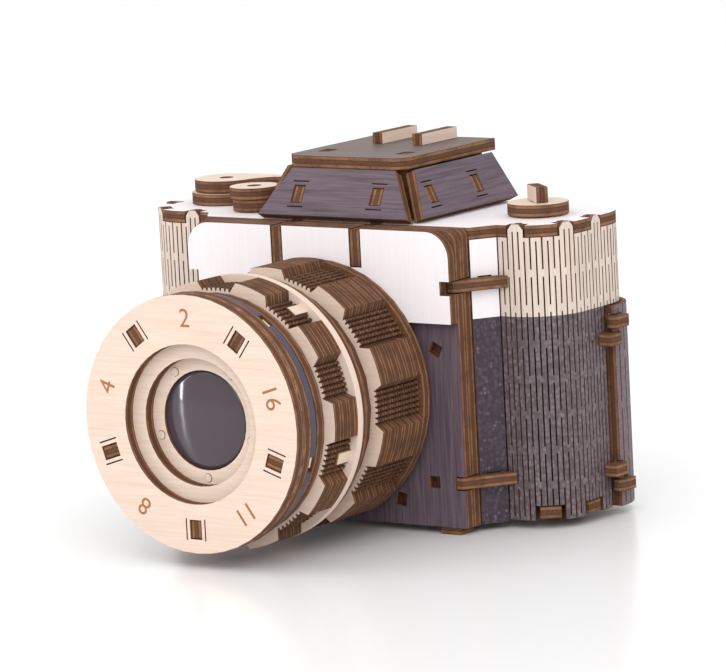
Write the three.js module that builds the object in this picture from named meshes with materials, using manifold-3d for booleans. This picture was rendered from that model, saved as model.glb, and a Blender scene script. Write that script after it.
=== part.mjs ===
// A toy single-lens camera built from laser-cut plywood sheets.
// Millimetres, +Z up, the lens points to -Y, +X is on the viewer's right from the front.
// The origin is the centre of the bounding box's lower face.

import * as THREE from 'three';
import { mergeVertices } from 'three/addons/utils/BufferGeometryUtils.js';
import Module from 'manifold-3d';

const wasm = await Module();
wasm.setup();

// Sheet and clearances
const sheet = 3.2;         // plywood thickness
const seam = 0.1;          // between two sheets that lie on each other
const play = 0.3;          // round a tenon in its slot
const runGap = 0.35;       // between a turning piece and its neighbours
const over = 1;            // a cutter passes this far beyond what it cuts

// Body heights above the floor
const footHeight = 2;
const lensHeight = 38.5;   // lens axis
const axisToTop = 43.5;    // lens axis to the upper face of the top plate
const axisToSplit = 19;    // lens axis to the lower edge of the pale upper band, all round
const plateLift = 1;       // bottom plate above the front plate's lower edge
const shelfLift = 10.4;    // lower shelf above the front plate's lower edge
const shelfDrop = 16.6;    // upper shelf's underside below the upper face of the top plate
const endHem = 0.5;        // end panels' lower edge above the front plate's
const bodyTop = lensHeight + axisToTop;
const splitHeight = lensHeight + axisToSplit;
const shelfLow = footHeight + shelfLift;
const shelfHigh = bodyTop - shelfDrop;

// Body plan
const frontWidth = 85.4;
const flareOut = 4.4;      // how far the side panels spread, and over what depth
const flareDepth = 6.4;
const flareAside = 0.4;    // side panels' front edges outside the front plate
const panelGap = 0.5;      // side panel to end panel, sideways and in depth
const panelStep = 0.2;
const endRight = 65;       // lens axis to the outer face of each body end
const endLeft = 72;
const bodyBack = 54;       // front plate to the back of the top plate
const cornerFront = 14;    // plan radius of the ends' front and rear corners
const cornerRear = 13;
const earReach = 2.6;      // shelf ears stand this far outside the side panels

// Facing
const facingCorner = 7;
const slotFloor = 1.67;    // facing left between a rib slot and the lens mount
const plateCorner = 4;     // upper corners of the front plate and of the frame behind it
const frameCorner = 2.5;
const ribSpan = 25.8;      // between the two lengthwise ribs, and their slots in the facing

// Slit lattice of the bent panels
const slitPitch = 1.6;
const slitWidth = 0.4;
const bridgeHeight = 2;
const bridgeRows = 4;      // slit lengths in the body height
const doorSlits = 8;       // slits at each door corner, and slit lengths in the door height
const doorRows = 2;
const tabStrips = 3;       // strips in a tab
const tabEvery = 8.6;      // strips from one tab to the next
const tabFirst = 2;
const tabRise = 0.3;       // tabs stand this far above the top plate
const tabRound = 1.5;
const notchStrips = 5;     // strips in a bottom notch
const lowerEnd = 38.4;     // y where the lower part of an end panel stops

// Prism housing
const prismHeight = 13.8;
const prismFrontY = 3.9;   // front panel's outer face, at the top plate and at the roof
const prismFrontLean = 7.8;
const prismFrontBase = 24.6;
const prismFrontTop = 16.9;
const prismSideX = 27.5;   // side panel's outer face, at the top plate
const prismSideLean = 6.7;
const prismSideFront = 9.4;
const prismSideBack = 55.5;
const prismSideFrontLean = 5.4;             // lean of the side panels' front and back edges
const prismSideBackLean = 3.2;
const prismBackY = 50;
const roofHalf = 19.4;
const roofFront = 11.7;
const roofBack = 56.3;
const roofChamfer = 3;
const railSpan = 13.2;
const railFront = 37.5;
const railLength = 17;
const railHeight = 3;
const frameFrontY = 16;    // the two cross frames inside the housing
const frameRearY = 38;
const ribTenonY = 20.5;
const tenonLength = 4.6;
const tenonShare = 0.45;   // how far up a leaning panel its tenons pass
const reliefGap = 1.1;     // from a tenon slot to the fine slit on each side of it
const reliefWidth = 0.4;
const reliefOver = 1.4;    // slit length as a share of the slot's width

// Lens
const lensRadius = 34.2;   // name ring, which the other radii follow
const nameBand = 13;       // face widths of the three front rings
const secondBand = 4.2;
const thirdBand = 3.7;
const thirdInset = 2.6;    // rims that lie inside the name ring's radius
const stopInset = 1.5;
const spacerInset = 2.2;
const mountInset = 1.2;
const gripProud = 1.7;     // rims that lie outside it
const indexProud = 0.6;
const rearProud = 0.8;
const glassLap = 3;        // lens disc behind the third ring
const glassEdge = 1;
const glassDome = 2.4;
const focusPlies = 4;
const aperturePlies = 6;
const groove = 5.5;        // between the index ring and the aperture ring
const stringers = 5;
const stringerFirst = 54;  // degrees
const stringerInset = 4;
const stringerDepth = 4.6;
const barrelWall = 3.6;    // hidden rings inside the stringers
const nameHole = lensRadius - nameBand;
const secondHole = nameHole - secondBand;
const thirdHole = secondHole - thirdBand;
const thirdRadius = lensRadius - thirdInset;
const stopRadius = lensRadius - stopInset;
const spacerRadius = lensRadius - spacerInset;
const mountRadius = lensRadius - mountInset;
const gripRadius = lensRadius + gripProud;  // raised arcs of the focus and aperture rings
const indexRadius = lensRadius + indexProud;
const rearRadius = lensRadius + rearProud;
const glassRadius = secondHole + glassLap;
const stringerOuter = lensRadius - stringerInset;
const stringerInner = stringerOuter - stringerDepth;
const barrelHole = stringerInner - barrelWall;
const gripLobes = 10;
const gripRecess = 2;
const gripTeeth = 6;
const gripToothDepth = 0.6;
const gripToothedArc = 15; // degrees
const gripFlank = 2.5;
const notchWidth = 4.4;

// Dials on the top plate
const leverX = -55.5;
const leverY = 33;
const leverHub = 8.9;
const leverBase = 9.8;
const leverArm = 13.5;
const leverTip = 2.2;
const speedX = -36.5;
const speedY = 20;
const speedRadius = 6.8;
const speedBase = 6.1;
const rewindX = 48;
const rewindY = 33;
const rewindRadius = 8.3;
const keyLength = 9;
const keyHeight = 4.2;
const keyTurn = 49;        // degrees
const axleRadius = 1.9;
const axleFlange = 3.6;
const axleShort = 0.6;     // axle ends below the faces of their discs

// Back door
const doorProud = 1.8;     // outside the end panels
const doorGap = 0.6;       // between the end panels' lower ends and the door
const doorHem = 0.6;       // door's lower edge above the front plate's, and upper edge below the band
const doorHead = 0.4;
const pinRadius = 0.8;
const lugRadius = 1.9;
const lugGap = 0.3;        // from a lug to the end panel it turns beside
const lugLength = 4.6;
const lugDrop = 6;         // underside of the upper door lug below the pale band
const lugLift = 5.2;       // underside of the lower door lug above the front plate's lower edge
const lugStep = 4.4;       // door lug to body lug

// Values worked out from those above
const topUnder = bodyTop - sheet;
const baseUnder = footHeight + plateLift;
const baseTop = baseUnder + sheet;
const frameFront = sheet + seam;
const frameBack = frameFront + sheet;
const halfFront = frontWidth / 2;
const flareStart = frameBack + seam;
const flareEnd = flareStart + flareDepth;
const endFront = flareEnd + panelStep;
const endStart = halfFront + flareOut + panelGap;
const prismBase = bodyTop + seam;
const roofUnder = bodyTop + prismHeight;
const roofTop = roofUnder + sheet;
const doorFace = bodyBack + doorProud;

// Front faces of the lens pieces, stacked from the front plate outwards.
const mountFront = -seam - sheet;
const rearFront = mountFront - seam - sheet;
const apertureFront = rearFront - runGap - aperturePlies * sheet;
const spacerFront = apertureFront - runGap - groove;
const indexFront = spacerFront - seam - sheet;
const focusFront = indexFront - runGap - focusPlies * sheet;
const stopFront = focusFront - runGap - sheet;
const glassFront = stopFront - seam - glassEdge;
const thirdFront = glassFront - seam - sheet;
const secondFront = thirdFront - seam - sheet;
const nameFront = secondFront - seam - sheet;
const lensReach = -nameFront;

const lugTop = splitHeight - lugDrop;
const lugBottom = footHeight + lugLift;
const pinX = endRight + lugGap + lugRadius;
const pinY = lowerEnd - doorGap / 2;

const birch = { color: 0xf3dfcb, roughness: 0.6, metalness: 0 };
const white = { color: 0xebe3e6, roughness: 0.55, metalness: 0 };
const purple = { color: 0x6b5a70, roughness: 0.5, metalness: 0 };
const grey = { color: 0x8a8585, roughness: 0.5, metalness: 0 };
const burnt = { color: 0x6b4e3a, roughness: 0.75, metalness: 0 };
const acrylic = { color: 0x5f5660, roughness: 0.08, metalness: 0 };

const radians = THREE.MathUtils.degToRad;

// One named piece with its own finish.
function piece(parent, name, geometry, finish) {
  const mesh = new THREE.Mesh(geometry, new THREE.MeshStandardMaterial(finish));
  mesh.name = name;
  parent.add(mesh);
  return mesh;
}

// Booleans on closed geometries.
function toSolid(geometry) {
  const bare = geometry.clone();
  bare.deleteAttribute('normal');
  bare.deleteAttribute('uv');
  const merged = mergeVertices(bare, 1e-4);
  return new wasm.Manifold(new wasm.Mesh({
    numProp: 3,
    vertProperties: new Float32Array(merged.attributes.position.array),
    triVerts: new Uint32Array(merged.index.array),
  }));
}

function toGeometry(solid) {
  const mesh = solid.getMesh();
  const geometry = new THREE.BufferGeometry();
  geometry.setAttribute('position', new THREE.BufferAttribute(new Float32Array(mesh.vertProperties), 3));
  geometry.setIndex(new THREE.BufferAttribute(new Uint32Array(mesh.triVerts), 1));
  return geometry;
}

function cut(geometry, tools) {
  return toGeometry(tools.reduce((solid, tool) => solid.subtract(toSolid(tool)), toSolid(geometry)));
}

function join(geometry, others) {
  return toGeometry(others.reduce((solid, other) => solid.add(toSolid(other)), toSolid(geometry)));
}

// Outlines from corner points, and sheets cut from them in the three main planes.
function outline(points) {
  return new THREE.Shape(points.map(([x, y]) => new THREE.Vector2(x, y)));
}

function extrude(shape, depth, curveSegments = 22) {
  return new THREE.ExtrudeGeometry(shape, { depth, bevelEnabled: false, curveSegments });
}

function level(shape, z, depth = sheet, segments = 22) {
  return extrude(shape, depth, segments).translate(0, 0, z);
}

function upright(shape, front, depth = sheet, segments = 22) {
  return extrude(shape, depth, segments).rotateX(Math.PI / 2).translate(0, front + depth, 0);
}

const lengthwiseTurn = new THREE.Matrix4().makeBasis(
  new THREE.Vector3(0, 1, 0), new THREE.Vector3(0, 0, 1), new THREE.Vector3(1, 0, 0));

function lengthwise(shape, x, depth = sheet) {
  return extrude(shape, depth).applyMatrix4(lengthwiseTurn).translate(x - depth / 2, 0, 0);
}

// A box between two corners.
function block(low, high) {
  const size = high.map((value, axis) => value - low[axis]);
  return new THREE.BoxGeometry(...size).translate(...low.map((value, axis) => value + size[axis] / 2));
}

function disc(radius, z, depth, segments = 36) {
  return new THREE.CylinderGeometry(radius, radius, depth, segments).rotateX(Math.PI / 2)
    .translate(0, 0, z + depth / 2);
}

// Plan of one body end: the outer face from the side panel round to the back.
// A path gives the outer point and the inward direction at a length along it.
function endPath(end) {
  const rf = cornerFront;
  const rr = cornerRear;
  const runs = [
    { length: end - rf - endStart, x: endStart, y: endFront, angle: 0 },
    { length: rf * Math.PI / 2, x: end - rf, y: endFront, angle: 0, radius: rf },
    { length: bodyBack - rr - endFront - rf, x: end, y: endFront + rf, angle: Math.PI / 2 },
    { length: rr * Math.PI / 2, x: end, y: bodyBack - rr, angle: Math.PI / 2, radius: rr },
    { length: end + endLeft, x: end - rr, y: bodyBack, angle: Math.PI },
  ];
  return (s) => {
    let left = s;
    let run = runs[0];
    for (run of runs) {
      if (left <= run.length) break;
      left -= run.length;
    }
    if (!run.radius) {
      return {
        x: run.x + left * Math.cos(run.angle),
        y: run.y + left * Math.sin(run.angle),
        inX: -Math.sin(run.angle),
        inY: Math.cos(run.angle),
      };
    }
    const heading = run.angle + left / run.radius;
    return {
      x: run.x + run.radius * (Math.sin(heading) - Math.sin(run.angle)),
      y: run.y - run.radius * (Math.cos(heading) - Math.cos(run.angle)),
      inX: -Math.sin(heading),
      inY: Math.cos(heading),
    };
  };
}

// Length along that path to a given y on its straight side.
function runTo(end, y) {
  return end - cornerFront - endStart + cornerFront * Math.PI / 2 + y - (endFront + cornerFront);
}

// A sheet bent along a path: strips of full thickness, joined across narrow slits by bridges.
// Each strip has from, to, bottom, and its top at both edges; bridges(i) lists the joined
// heights in the slit after strip i.
function slitPanel(path, strips, bridges, mirrored = false) {
  const corners = [];
  const place = (s, z, inside) => {
    const p = path(s);
    const depth = inside ? sheet : 0;
    const x = p.x + depth * p.inX;
    return [mirrored ? -x : x, p.y + depth * p.inY, z];
  };
  const triangle = (a, b, c) => corners.push(...(mirrored ? [a, c, b] : [a, b, c]));
  const quad = (a, b, c, d) => {
    triangle(a, b, c);
    triangle(a, c, d);
  };
  const wall = (s, low, high, forward) => {
    const face = [place(s, low, false), place(s, low, true), place(s, high, true), place(s, high, false)];
    quad(...(forward ? face : face.reverse()));
  };
  const band = (s1, z1, s2, z2, up) => {
    const face = [place(s1, z1, false), place(s2, z2, false), place(s2, z2, true), place(s1, z1, true)];
    quad(...(up ? face : face.reverse()));
  };
  const edgeHeights = (bottom, top, joined) => {
    const all = [bottom, top, ...joined.flat()];
    return [...new Set(all)].sort((a, b) => a - b);
  };
  const fill = (s1, left, s2, right, inside) => {
    let i = 0;
    let j = 0;
    while (i < left.length - 1 || j < right.length - 1) {
      const takeLeft = j === right.length - 1 || (i < left.length - 1 && left[i + 1] <= right[j + 1]);
      const third = takeLeft ? place(s1, left[i + 1], inside) : place(s2, right[j + 1], inside);
      const a = place(s1, left[i], inside);
      const b = place(s2, right[j], inside);
      if (inside) triangle(a, third, b);
      else triangle(a, b, third);
      if (takeLeft) i += 1;
      else j += 1;
    }
  };
  strips.forEach((strip, i) => {
    const before = i > 0 ? bridges(i - 1) : [];
    const after = i < strips.length - 1 ? bridges(i) : [];
    const left = edgeHeights(strip.bottom, strip.topFrom, before);
    const right = edgeHeights(strip.bottom, strip.topTo, after);
    fill(strip.from, left, strip.to, right, false);
    fill(strip.from, left, strip.to, right, true);
    band(strip.from, strip.topFrom, strip.to, strip.topTo, true);
    band(strip.from, strip.bottom, strip.to, strip.bottom, false);
    for (const [s, heights, joined, forward] of [
      [strip.from, left, before, false], [strip.to, right, after, true]]) {
      for (let k = 0; k < heights.length - 1; k += 1) {
        const middle = (heights[k] + heights[k + 1]) / 2;
        const bridged = joined.some(([low, high]) => low < middle && middle < high);
        if (!bridged) wall(s, heights[k], heights[k + 1], forward);
      }
    }
    if (i === strips.length - 1) return;
    const next = strips[i + 1].from;
    for (const [low, high] of after) {
      quad(place(strip.to, low, false), place(next, low, false), place(next, high, false),
        place(strip.to, high, false));
      quad(place(strip.to, high, true), place(next, high, true), place(next, low, true),
        place(strip.to, low, true));
      band(strip.to, high, next, high, true);
      band(strip.to, low, next, low, false);
    }
  });
  const geometry = new THREE.BufferGeometry();
  geometry.setAttribute('position', new THREE.Float32BufferAttribute(corners.flat(), 3));
  return mergeVertices(geometry, 1e-4);
}

// Heights of the bridges in slit i: rows a slit length apart, shifted by half on every second slit.
function latticeRows(i, low, high, rowLow, rowHigh, count) {
  const step = (rowHigh - rowLow) / count;
  const rows = [];
  for (let k = 0; k <= count; k += 1) {
    const middle = rowLow + (k + (i % 2 ? 0.5 : 0)) * step;
    const from = Math.max(middle - bridgeHeight / 2, low);
    const to = Math.min(middle + bridgeHeight / 2, high);
    if (to - from > bridgeHeight / 4) rows.push([from, to]);
  }
  return rows;
}

// The living-hinge panel that wraps one body end: tabs up through the top plate, notches at the bottom.
const endPanelLow = footHeight + endHem;
const endPanelHigh = topUnder - seam;

function tabStarts(end) {
  const count = Math.floor((runTo(end, lowerEnd) / slitPitch - tabFirst) / tabEvery) + 1;
  return Array.from({ length: count }, (_, k) => Math.round(tabFirst + k * tabEvery));
}

function notchStarts(end) {
  return tabStarts(end).slice(0, -1).map((start) => start + tabStrips);
}

function endPanel(end, mirrored) {
  const path = endPath(end);
  const lowerLength = runTo(end, lowerEnd);
  const fullLength = runTo(end, bodyBack - cornerRear) + cornerRear * Math.PI / 2;
  const count = Math.floor(fullLength / slitPitch);
  const tabs = tabStarts(end);
  const notches = notchStarts(end);
  const tabTop = bodyTop + tabRise;
  const inTab = (i) => tabs.some((start) => i >= start && i < start + tabStrips);
  const inNotch = (i) => notches.some((start) => i >= start && i < start + notchStrips);
  const strips = [];
  for (let i = 0; i < count; i += 1) {
    const from = i * slitPitch + slitWidth / 2;
    const to = (i + 1) * slitPitch - slitWidth / 2;
    const lower = to < lowerLength;
    const top = inTab(i) ? tabTop : endPanelHigh;
    strips.push({
      from,
      to,
      bottom: lower ? (inNotch(i) ? baseTop + play : endPanelLow) : splitHeight,
      topFrom: inTab(i) && !inTab(i - 1) ? top - tabRound : top,
      topTo: inTab(i) && !inTab(i + 1) ? top - tabRound : top,
    });
  }
  const bridges = (i) => {
    const low = Math.max(strips[i].bottom, strips[i + 1].bottom);
    const high = Math.min(strips[i].topTo, strips[i + 1].topFrom);
    const rows = latticeRows(i, low, Math.min(high, endPanelHigh), endPanelLow, endPanelHigh, bridgeRows);
    if (high <= endPanelHigh) return rows;
    const below = rows.filter(([, to]) => to < endPanelHigh);
    return [...below, [high - bridgeHeight, high]];
  };
  return slitPanel(path, strips, bridges, mirrored);
}

// A tab or notch cutter at strips start to start + count of an end panel, square to the panel.
function edgeBox(end, start, count, inner, outer, low, high, gap, sign) {
  const p = endPath(end)((start + count / 2) * slitPitch);
  const width = count * slitPitch + 2 * gap;
  const box = new THREE.BoxGeometry(width, inner + outer, high - low)
    .translate(0, (inner - outer) / 2, (low + high) / 2);
  const along = Math.atan2(-p.inX, p.inY);
  box.rotateZ(along).translate(p.x, p.y, 0);
  return sign > 0 ? box : box.scale(-1, 1, 1);
}

// A mirrored box has its faces turned in, so its triangles are wound the other way round.
function turned(geometry) {
  const flipped = geometry.toNonIndexed();
  const position = flipped.attributes.position;
  const order = Array.from({ length: position.count }, (_, i) => i - (i % 3) + [0, 2, 1][i % 3]);
  flipped.setIndex(order);
  return flipped;
}

// Outline of the top or bottom plate, inset from the outer faces of the ends.
function plateOutline(front, inset) {
  const shape = new THREE.Shape();
  const flare = halfFront + flareAside - inset;
  const wide = flare + flareOut;
  const rf = cornerFront - inset;
  const rr = cornerRear - inset;
  const right = endRight - inset;
  const left = -endLeft + inset;
  const ahead = endFront + inset;
  const back = bodyBack - inset;
  shape.moveTo(-flare, front);
  shape.lineTo(flare, front);
  shape.lineTo(wide, ahead);
  shape.lineTo(right - rf, ahead);
  shape.absarc(right - rf, ahead + rf, rf, -Math.PI / 2, 0);
  shape.absarc(right - rr, back - rr, rr, 0, Math.PI / 2);
  shape.absarc(left + rr, back - rr, rr, Math.PI / 2, Math.PI);
  shape.absarc(left + rf, ahead + rf, rf, Math.PI, Math.PI * 1.5);
  shape.lineTo(-wide, ahead);
  return shape;
}

const ends = [[endRight, 1], [endLeft, -1]];

function edgeBoxes(starts, count, inner, outer, low, high, gap) {
  return ends.flatMap(([end, sign]) => starts(end).map((start) => {
    const box = edgeBox(end, start, count, inner, outer, low, high, gap, sign);
    return sign > 0 ? box : turned(box);
  }));
}

function ribSlots(front, back, low, high) {
  const half = sheet / 2 + play;
  return [-1, 1].map((side) => block([side * ribSpan / 2 - half, front, low],
    [side * ribSpan / 2 + half, back, high]));
}

const camera = new THREE.Group();
const body = new THREE.Group();
const lens = new THREE.Group();
lens.position.z = lensHeight;
camera.add(body, lens);

// Front: facing on the upper part, stained plate, backing frame.
const mountReach = mountRadius + play;
const slotInside = ribSpan / 2 - sheet / 2 - play;
const facingSlotLow = lensHeight + Math.sqrt(mountReach ** 2 - slotInside ** 2) + slotFloor;
const shelfHeights = [shelfLow, shelfHigh];

function earNotches(front, back) {
  return shelfHeights.flatMap((z) => [-1, 1].map((side) => {
    const inner = halfFront - sheet + seam;
    const outer = halfFront + sheet;
    const x = [side * inner, side * outer].sort((a, b) => a - b);
    return block([x[0], front, z - play], [x[1], back, z + sheet + play]);
  }));
}

// A disc about the lens axis, from front to back.
function lensDisc(radius, front, back) {
  return new THREE.CylinderGeometry(radius, radius, back - front, 44)
    .translate(0, (front + back) / 2, lensHeight);
}

function frontFacing() {
  const r = facingCorner;
  const shape = new THREE.Shape();
  shape.moveTo(-halfFront, splitHeight);
  shape.lineTo(halfFront, splitHeight);
  shape.absarc(halfFront - r, bodyTop - r, r, 0, Math.PI / 2);
  shape.absarc(-halfFront + r, bodyTop - r, r, Math.PI / 2, Math.PI);
  const front = -sheet - seam;
  const cutters = [...ribSlots(front - over, over, facingSlotLow, bodyTop + over),
    ...earNotches(front - over, over).slice(2), lensDisc(mountReach, front - over, over)];
  return cut(upright(shape, front, sheet, 5), cutters);
}

function frontSheet(front, corner) {
  const half = halfFront;
  const shape = new THREE.Shape();
  shape.moveTo(-half, footHeight);
  shape.lineTo(half, footHeight);
  shape.absarc(half - corner, bodyTop - corner, corner, 0, Math.PI / 2);
  shape.absarc(-half + corner, bodyTop - corner, corner, Math.PI / 2, Math.PI);
  return cut(upright(shape, front, sheet, 4), [
    ...ribSlots(front - over, front + sheet + over, facingSlotLow, bodyTop + over),
    ...earNotches(front - over, front + sheet + over),
  ]);
}

// Slots for the struts that hold the lens mount, in a circle round the lens, and for the lower shelf.
const strutOutside = 2.6;
const strutCircle = lensRadius + strutOutside;
const strutSlot = 3.6;
const strutAngles = [18, 162, 234, 306];
const shelfTenonX = 32.8;

function frontPlate() {
  const slots = strutAngles.map((angle) => new THREE.BoxGeometry(strutSlot, sheet + 2 * over, strutSlot)
    .rotateY(radians(45 - angle)).translate(
      strutCircle * Math.cos(radians(angle)), sheet / 2,
      lensHeight + strutCircle * Math.sin(radians(angle))));
  const tenons = [-1, 1].map((side) => block(
    [side * shelfTenonX - strutSlot / 2, -over, shelfLow],
    [side * shelfTenonX + strutSlot / 2, sheet + over, shelfLow + sheet]));
  return cut(frontSheet(0, plateCorner), [...slots, ...tenons]);
}

piece(body, 'front_facing', frontFacing(), white);
piece(body, 'front_plate', frontPlate(), purple);
piece(body, 'front_frame', frontSheet(frameFront, frameCorner), burnt);

// Flared side panels, each crossed by the ears of the two shelves.
const flareLength = Math.hypot(flareOut, flareDepth);
const flareDirection = [flareOut / flareLength, flareDepth / flareLength];

function flarePoint(along, outward) {
  return [
    halfFront + flareAside + flareDirection[0] * along + flareDirection[1] * outward,
    flareStart + flareDirection[1] * along - flareDirection[0] * outward,
  ];
}

function mirroredShape(points, side) {
  const placed = points.map(([x, y]) => [side * x, y]);
  return outline(side > 0 ? placed : placed.reverse());
}

const neckFrom = 2.2;
const neckTo = 5.6;
const neckRoot = 3;        // neck's hold inside the side panel

// Length along the flare at which a line outside it reaches a given y.
function alongAt(y, outward) {
  return (y - flareStart + flareDirection[0] * outward) / flareDirection[1];
}

function neck(gap) {
  return [
    flarePoint(neckFrom - gap, -sheet - neckRoot), flarePoint(neckFrom - gap, earReach),
    flarePoint(neckTo + gap, earReach), flarePoint(neckTo + gap, -sheet - neckRoot),
  ];
}

function sidePanel(side) {
  const shape = mirroredShape([
    flarePoint(0, -sheet), flarePoint(0, 0), flarePoint(flareLength, 0), flarePoint(flareLength, -sheet),
  ], side);
  const slots = shelfHeights.map((z) => level(mirroredShape(neck(play), side), z - play, sheet + 2 * play));
  return cut(level(shape, footHeight, topUnder - seam - footHeight), slots);
}

function shelf(z) {
  const inner = flarePoint(0, -sheet - play)[0];
  const main = level(outline([
    [-inner, flareStart], [inner, flareStart], [inner, shelfDepth], [-inner, shelfDepth]]), z);
  const earBack = endFront - play;
  const arms = [-1, 1].flatMap((side) => [
    level(mirroredShape(neck(0), side), z),
    level(mirroredShape([
      [halfFront - sheet + seam + play, seam], flarePoint(alongAt(seam, earReach), earReach),
      flarePoint(alongAt(earBack, earReach), earReach), flarePoint(alongAt(earBack, seam), seam),
      flarePoint(0, seam), [halfFront - sheet + seam + play, flareStart - 2 * seam],
    ], side), z),
  ]);
  return join(main, arms);
}

const shelfDepth = 36;
for (const [side, word] of [[-1, 'left'], [1, 'right']]) {
  piece(body, `side_panel_${word}`, sidePanel(side), purple);
}
piece(body, 'shelf_lower', shelf(shelfLow), burnt);
piece(body, 'shelf_upper', shelf(shelfHigh), burnt);

// Top and bottom plates.
const dials = [[leverX, leverY], [speedX, speedY], [rewindX, rewindY]];

function topPlate() {
  const holes = dials.map(([x, y]) => disc(
    axleRadius + runGap, topUnder - over, sheet + 2 * over, 16).translate(x, y, 0));
  return cut(level(plateOutline(flareStart, 0), topUnder, sheet, 8), [
    ...edgeBoxes(tabStarts, tabStrips, sheet + play, 2 * over, topUnder - over, bodyTop + over, play),
    ...ribSlots(flareStart - over, ribBack + play, topUnder - over, bodyTop + over),
    ...holes,
  ]);
}

function bottomPlate() {
  const plate = level(plateOutline(flareStart, sheet + play), baseUnder, sheet, 8);
  const narrowing = notchStrips * slitPitch * sheet / cornerFront / 2;
  return join(plate, edgeBoxes(
    notchStarts, notchStrips, sheet + over, 0, baseUnder, baseTop, -play - narrowing));
}

const ribBack = 45;
piece(body, 'top_plate', topPlate(), birch);
piece(body, 'bottom_plate', bottomPlate(), burnt);

// Bent end panels and the pale panel across the back.
piece(body, 'end_panel_left', endPanel(endLeft, true), purple);
piece(body, 'end_panel_right', endPanel(endRight, false), purple);
const rearRight = endRight - cornerRear - play;
const rearLeft = -endLeft + cornerRear + play;
piece(body, 'rear_panel', block([rearLeft, bodyBack - sheet, splitHeight],
  [rearRight, bodyBack, endPanelHigh]), white);

// Feet under the front layers and the rear corners.
const footWidth = 6.4;
const footInset = 2.5;     // from the front plate's side edge, and from its layers' faces
const footSetback = 0.4;
const footFrontX = halfFront - footInset - footWidth / 2;
const footRearX = 45;
const footRearY = 44;
for (const [side, word] of [[-1, 'left'], [1, 'right']]) {
  const x = side * footFrontX;
  piece(body, `foot_front_${word}`, block([x - footWidth / 2, footSetback, 0],
    [x + footWidth / 2, frameBack - footSetback, footHeight - seam]), burnt);
  const rear = side * footRearX;
  piece(body, `foot_rear_${word}`, block([rear - footWidth / 2, footRearY - footWidth / 2, 0],
    [rear + footWidth / 2, footRearY + footWidth / 2, baseUnder - seam]), burnt);
}

// Prism housing: four leaning panels and a roof over two ribs and two frames.
const frontTilt = Math.atan2(prismFrontLean, prismHeight);
const sideTilt = Math.atan2(prismSideLean, prismHeight);

function panelLength(tilt) {
  return (roofUnder - seam - prismBase - sheet * Math.sin(tilt)) / Math.cos(tilt);
}

// A box that cuts a rectangular hole through a sheet lying in its own plane.
function holeAt(x, y, width, height) {
  return block([x - width / 2, y - height / 2, -2 * sheet], [x + width / 2, y + height / 2, 2 * sheet]);
}

// The fine slits above and below a tenon slot that let it spring.
function reliefSlits(x, y, width, height) {
  return [-1, 1].map((side) => holeAt(x, y + side * (height / 2 + reliefGap), width * reliefOver, reliefWidth));
}

const slotWide = sheet + 2 * play;
const slotTall = tenonLength + 2 * play;

function leaningPanel(base, top, baseBack, topBack, length, slots) {
  const shape = outline([[base, 0], [baseBack, 0], [topBack, length], [top, length]]);
  const holes = slots.flatMap(([x, y]) => [
    holeAt(x, y, slotWide, slotTall), ...reliefSlits(x, y, slotWide, slotTall)]);
  return cut(extrude(shape, sheet).translate(0, 0, -sheet), holes);
}

const prism = new THREE.Group();
prism.position.z = prismBase;
camera.add(prism);

const frontLength = panelLength(frontTilt);
const frontInner = prismFrontY + sheet / Math.cos(frontTilt);
const frontPanel = piece(prism, 'prism_front', leaningPanel(
  -prismFrontBase, -prismFrontTop, prismFrontBase, prismFrontTop, frontLength,
  [[-ribSpan / 2, frontLength * tenonShare], [ribSpan / 2, frontLength * tenonShare]]), purple);
frontPanel.rotation.x = Math.PI / 2 - frontTilt;
frontPanel.position.set(0, frontInner - sheet * Math.cos(frontTilt), sheet * Math.sin(frontTilt));

const sideLength = panelLength(sideTilt);
const sideInner = prismSideX - sheet / Math.cos(sideTilt);
const sideSlotY = sideLength * tenonShare;
for (const [side, word] of [[-1, 'left'], [1, 'right']]) {
  const stand = new THREE.Group();
  const edges = [[prismSideFront, prismSideFront + prismSideFrontLean],
    [prismSideBack, prismSideBack - prismSideBackLean]];
  const [[base, top], [baseBack, topBack]] = side > 0 ? edges : edges.reverse().map(
    (edge) => edge.map((value) => -value));
  const geometry = leaningPanel(base, top, baseBack, topBack, sideLength,
    [frameFrontY, frameRearY].map((y) => [side * (y + sheet / 2), sideSlotY]));
  const panel = piece(stand, `prism_side_${word}`, geometry, purple);
  panel.rotation.x = Math.PI / 2 - sideTilt;
  panel.position.set(0, -sheet * Math.cos(sideTilt), sheet * Math.sin(sideTilt));
  stand.rotation.z = side * Math.PI / 2;
  stand.position.x = side * sideInner;
  prism.add(stand);
}

// Half the housing's inside width at a height above the prism base.
function innerHalf(z) {
  return sideInner - z * Math.tan(sideTilt) - play;
}

const insideHeight = roofUnder - seam - prismBase;

// A cross frame: fits between the side panels, with a tenon square to each.
function crossFrame(y) {
  const points = [[-innerHalf(0), 0], [innerHalf(0), 0]];
  const up = [-Math.sin(sideTilt), Math.cos(sideTilt)];
  const out = [Math.cos(sideTilt), Math.sin(sideTilt)];
  const at = (along, outward) => [
    sideInner + up[0] * along + out[0] * outward, up[1] * along + out[1] * outward];
  const tenon = [
    at(sideSlotY - tenonLength / 2, -play), at(sideSlotY - tenonLength / 2, sheet - play),
    at(sideSlotY + tenonLength / 2, sheet - play), at(sideSlotY + tenonLength / 2, -play)];
  points.push(...tenon, [innerHalf(insideHeight), insideHeight], [-innerHalf(insideHeight), insideHeight]);
  points.push(...tenon.map(([x, z]) => [-x, z]).reverse());
  const frame = upright(outline(points), y);
  return cut(frame, ribSlots(y - over, y + sheet + over, -over, insideHeight / 2));
}

piece(prism, 'prism_frame_front', crossFrame(frameFrontY), burnt);
piece(prism, 'prism_frame_rear', crossFrame(frameRearY), burnt);

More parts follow.
